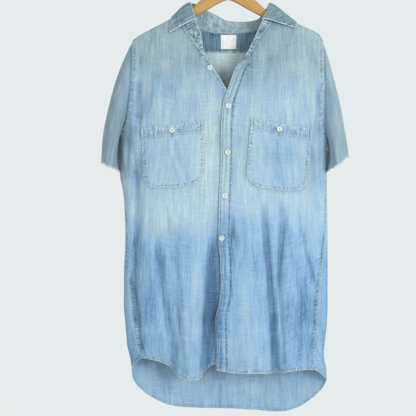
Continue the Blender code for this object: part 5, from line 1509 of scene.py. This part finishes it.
# %% Buttonholes and button threads
HOLE_LOW = 9.0           # a buttonhole's middle is this far below its button's
HALF_HOLE = 6.5
ACROSS = (1, 0, 0)
bm = bmesh.new()
for name, x, drop, _ in BUTTONS[1:]:
    middle = drop + HOLE_LOW
    height = 1.9 if "front" in name else 2.9
    for step in np.arange(-HALF_HOLE, HALF_HOLE + 0.1, 0.65):
        for sign in (-1, 1):
            spot, out = on_body(turn_at(x + sign, middle + step), middle + step, height)
            stitch(bm, spot, ACROSS, out, (0.95, 0.34, 0.38))
    for end in (-HALF_HOLE - 0.5, HALF_HOLE + 0.5):
        spot, out = on_body(turn_at(x, middle + end), middle + end, height)
        stitch(bm, spot, ACROSS, out, (1.9, 0.5, 0.42))
dress(put(bm, "buttonhole_stitches"), None, "thread", thread)

bm = bmesh.new()
for seat, normal in BUTTON_SPOTS.values():
    for way in ((1, 1, 0), (1, -1, 0)):
        stitch(bm, seat + normal * 1.85, facing_out(normal) @ Vector(way), normal, (1.9, 0.42, 0.36))
dress(put(bm, "button_threads"), None, "thread", thread)

# %% [markdown]
# ## Loose threads
# The sleeves were cut and never hemmed, so warp threads hang out of the edge. The collar's fold and edges
# have worn through too, and end in short fuzz. Each thread is a thin curve that wanders as it falls.

# %% Loose thread maker
THREAD_PARTS = 5
FALL = np.array([0, 0, -0.2])        # each part of a thread turns down a little


def round_curve(name, radius, resolution=0):
    """An empty curve that draws a round thread or wire."""
    curve = bpy.data.curves.new(name, "CURVE")
    curve.dimensions, curve.bevel_depth, curve.bevel_resolution = "3D", radius * MM, resolution
    curve.use_fill_caps = True
    return curve


def threads(name, starts, ways, lengths, seed, radius=0.17, wander=0.35):
    """Thin threads that wander as they fall."""
    shift = np.random.default_rng(seed)
    curve = round_curve(name, radius)
    for start, way, length in zip(starts, ways, lengths):
        at, way = np.array(start, float), np.array(way, float)
        spline = curve.splines.new("POLY")
        spline.points.add(THREAD_PARTS)
        for point in spline.points:
            point.co = (*(at * MM), 1)
            way = unit(way + shift.normal(0, wander, 3) + FALL)
            at = at + way * length / THREAD_PARTS
    return in_scene(name, curve)


print("a loose thread has", THREAD_PARTS, "parts")

# %% Sleeve frays
HEM_THREADS = 260
frayed, tree, shader = plain_material("frayed_cotton", (0.55, 0.64, 0.66), 0.85)
clouded(tree, shader, 140.0, 3.0,
        [(0.35, (0.22, 0.32, 0.38)), (0.5, (0.38, 0.47, 0.50)), (0.65, (0.58, 0.64, 0.64))])
for number, side in enumerate(("left", "right")):
    ring_points, ring_down, ring_out = HEM_RINGS[side]
    shift = np.random.default_rng(40 + number)
    pick = shift.uniform(0, len(ring_points) - 1, HEM_THREADS)
    low = pick.astype(int)
    part = (pick - low)[:, None]
    starts = ring_points[low] * (1 - part) + ring_points[low + 1] * part - ring_out[low] * 0.4
    starts = starts - ring_down[low] * 1.5
    tall = 3.0 + 5.5 * shift.random(HEM_THREADS) ** 2.2
    ways = ring_down[low] + shift.normal(0, 0.35, (HEM_THREADS, 3))
    piece = threads("fray_%s_threads" % side, starts, ways, tall, 50 + number)
    dress(piece, "fray_" + side, "thread", frayed)

# %% Fuzz
shift = np.random.default_rng(61)


def fuzz(name, starts, shortest, longest, seed, radius, wander):
    """Short threads that start any way they like."""
    count = len(starts)
    piece = threads(name, starts, shift.normal(0, 1, (count, 3)), shift.uniform(shortest, longest, count), seed,
                    radius, wander)
    return dress(piece, None, "thread", frayed)


# along the neckband's free edge: on the left front, round the back and on the right front
places = [shift.uniform(low, high, count) for low, high, count in ((0.0, 2.3, 60), (3.3, 6.8, 110), (7.7, 10, 60))]
fuzz("collar_fuzz", roll_line(np.concatenate(places)) + np.array([0, 0, 0.4]), 0.9, 2.6, 62, 0.13, 0.7)
# the worn place at the right underarm
fuzz("underarm_fray", UNDERARM_WORN + shift.normal(0, 1, (60, 3)) * (4.5, 1.2, 7.5), 2.5, 7.0, 63, 0.2, 0.8)
# the worn sides of the neckband on the fronts
worn = BAND_EDGE[shift.integers(0, len(BAND_EDGE), 210)]
fuzz("neckband_fuzz", worn + shift.normal(0, 0.5, (210, 3)), 1.2, 4.2, 64, 0.16, 0.8)

# %% [markdown]
# ## Hanger
# A flat wooden hanger with two rounded arms, cut from one board. Its arms are drawn by their upper and
# lower edge; the section has well rounded edges. The grain follows each arm, so the pattern reads a UV map
# that runs along the arm. Its wire hook is above the photograph and is kept plain.

# %% Hanger arms
# x, top, bottom
HANGER = np.array([
    (-208, 195, 198), (-206, 188.8, 202), (-198, 185, 201.5), (-186, 178.6, 195.5), (-160, 165.4, 182.5),
    (-125, 145.6, 163.5), (-104, 134.2, 151.6), (-83, 116.5, 138.6), (-64, 98.5, 128.2), (-40, 80, 115.4),
    (-18, 66.5, 103), (0, 63, 96.5), (18, 66.5, 103), (40, 80, 115.4), (64, 98.5, 128.2), (83, 116.5, 138.6),
    (104, 133.4, 151.6), (125, 143.4, 163), (160, 158.8, 179.5), (180, 168.8, 189.5), (196, 179.8, 197.5),
    (204, 187, 200), (206.5, 193, 197)])
HANGER_THICK = 12.0
ARM_SIDES = 29           # points round the section; the last one lies on the first
arm_x = np.concatenate([[-208, -207.5, -206.5], np.linspace(-205, 204, 150), [205.5, 206.2, 206.5]])
arm_top, arm_low = (smooth(HANGER[:, 0], HANGER[:, k], arm_x) for k in (1, 2))
angle = np.linspace(0, 2 * np.pi, ARM_SIDES)
side_y = np.sign(np.sin(angle)) * np.abs(np.sin(angle)) ** 0.45 * 0.5
side_h = 0.5 + np.sign(np.cos(angle)) * np.abs(np.cos(angle)) ** 0.7 * 0.5
grid = np.stack([np.repeat(arm_x[:, None], ARM_SIDES, 1), np.repeat(side_y[None] * HANGER_THICK, len(arm_x), 0),
                 -arm_low[:, None] + (arm_low - arm_top)[:, None] * side_h[None]], axis=-1)
bm = bmesh.new()
uv = bm.loops.layers.uv.new("grain")
verts = grid_mesh(bm, *grid.shape[:2])
length = walked(grid, 0)[:, 0]
spots = {}
for i, (vert, point) in enumerate(zip(verts, grid.reshape(-1, 3))):
    vert.co = point * MM
    row, place = divmod(i, ARM_SIDES)
    spots[vert] = (length[row] * MM, side_h[place] * (arm_low - arm_top)[row] * MM)
for face in bm.faces:
    for loop in face.loops:
        loop[uv].uv = spots[loop.vert]
bmesh.ops.remove_doubles(bm, verts=bm.verts, dist=1e-6)
bmesh.ops.holes_fill(bm, edges=[edge for edge in bm.edges if edge.is_boundary], sides=40)
bmesh.ops.recalc_face_normals(bm, faces=bm.faces)
arms = put(bm, "hanger_arms")
print("arms from", arm_x[0], "to", arm_x[-1])

# %% Lacquered wood
wood, tree, shader = plain_material("lacquered_beech", (0.6, 0.38, 0.15), 0.35, coat=0.3)
uv = add(tree, "UVMap", uv_map="grain").outputs[0]
rings = stretched(tree, uv, (9, 260), 4, 0.55)
pores = stretched(tree, uv, (90, 1500), 2)
browns = ramp(tree, rings, [(0.25, (0.25, 0.118, 0.026)), (0.5, (0.375, 0.195, 0.044)), (0.75, (0.47, 0.265, 0.07))])
fill(tree, shader, {
    "Base Color": mix(tree, calc(tree, "MULTIPLY", pores, 0.35), browns, (0.45, 0.25, 0.09, 1)),
    "Roughness": calc(tree, "ADD", 0.25, calc(tree, "MULTIPLY", rings, 0.25)),
    "Normal": add(tree, "Bump", {"Height": pores, "Strength": 0.15, "Distance": 0.0004}).outputs[0]})
dress(arms, "hanger_wood", "wood", wood)

# %% Hook
HOOK_RADIUS, WIRE_RADIUS = 20.0, 1.7
centre = -(HOOK_RADIUS - WIRE_RADIUS)
route = [(0, -63.2), (0, -57), (0, -50), (0, centre - HOOK_RADIUS - 6.0)]       # x, z up the shank
route += [(HOOK_RADIUS * math.cos(math.radians(a)), centre + HOOK_RADIUS * math.sin(math.radians(a)))
          for a in np.linspace(-98, 163, 60)]
curve = round_curve("hanger_wire", WIRE_RADIUS, 5)
spline = curve.splines.new("POLY")
spline.points.add(len(route) - 1)
for point, (hx, hz) in zip(spline.points, route):
    point.co = (hx * MM, 0, hz * MM, 1)
steel, tree, shader = plain_material("zinc_wire", (0.62, 0.62, 0.63), 0.3, metal=1.0)
drawn = clouded(tree, shader, 900.0, 2.0, [(0.3, (0.45, 0.45, 0.46)), (0.6, (0.66, 0.66, 0.68))])
fill(tree, shader, {"Roughness": calc(tree, "ADD", 0.18, calc(tree, "MULTIPLY", drawn, 0.25))})
dress(in_scene("hanger_wire", curve), "hanger_hook", "metal", steel)

# %% [markdown]
# ## Floor and light
# The shirt hangs at the height of a rail, over a plain pale floor. A bright, even world fills the shadows.
# Two large soft lamps stand low in front, the stronger one on the right, so that the folds keep a soft
# side of shade and the tail isn't dark.

# %% Floor
FLOOR_RADIUS, FLOOR_HEIGHT = 2.6, -1.85
bm = bmesh.new()
bmesh.ops.create_circle(bm, cap_ends=True, segments=96, radius=FLOOR_RADIUS,
                        matrix=Matrix.Translation((0, 0, FLOOR_HEIGHT)))
floor = put(bm, "floor")
floor.data.materials.append(plain_material("floor_paper", (0.52, 0.55, 0.55), 0.9)[0])
print("floor at", FLOOR_HEIGHT, "m")

# %% Light
world = bpy.data.worlds.new("studio")
bpy.context.scene.world = world
world.use_nodes = True
fill(world.node_tree, world.node_tree.nodes["Background"], {"Color": (0.79, 0.84, 0.84, 1), "Strength": 1.0})
SHIRT_MIDDLE = (0, 0, -0.55)


def lamp(name, place, size, power):
    """A square soft lamp that points at the shirt's middle."""
    light = bpy.data.lights.new(name, "AREA")
    light.energy, light.size = power, size
    item = in_scene(name, light)
    item.location = place
    item.rotation_euler = (Vector(SHIRT_MIDDLE) - Vector(place)).to_track_quat("-Z", "Y").to_euler()
    print(name, power, "W")


lamp("soft_right", (1.6, -2.2, -0.25), 1.1, 58)
lamp("soft_left", (-1.5, -2.2, -0.35), 1.4, 17)
bpy.context.scene.view_settings.view_transform = "Standard"
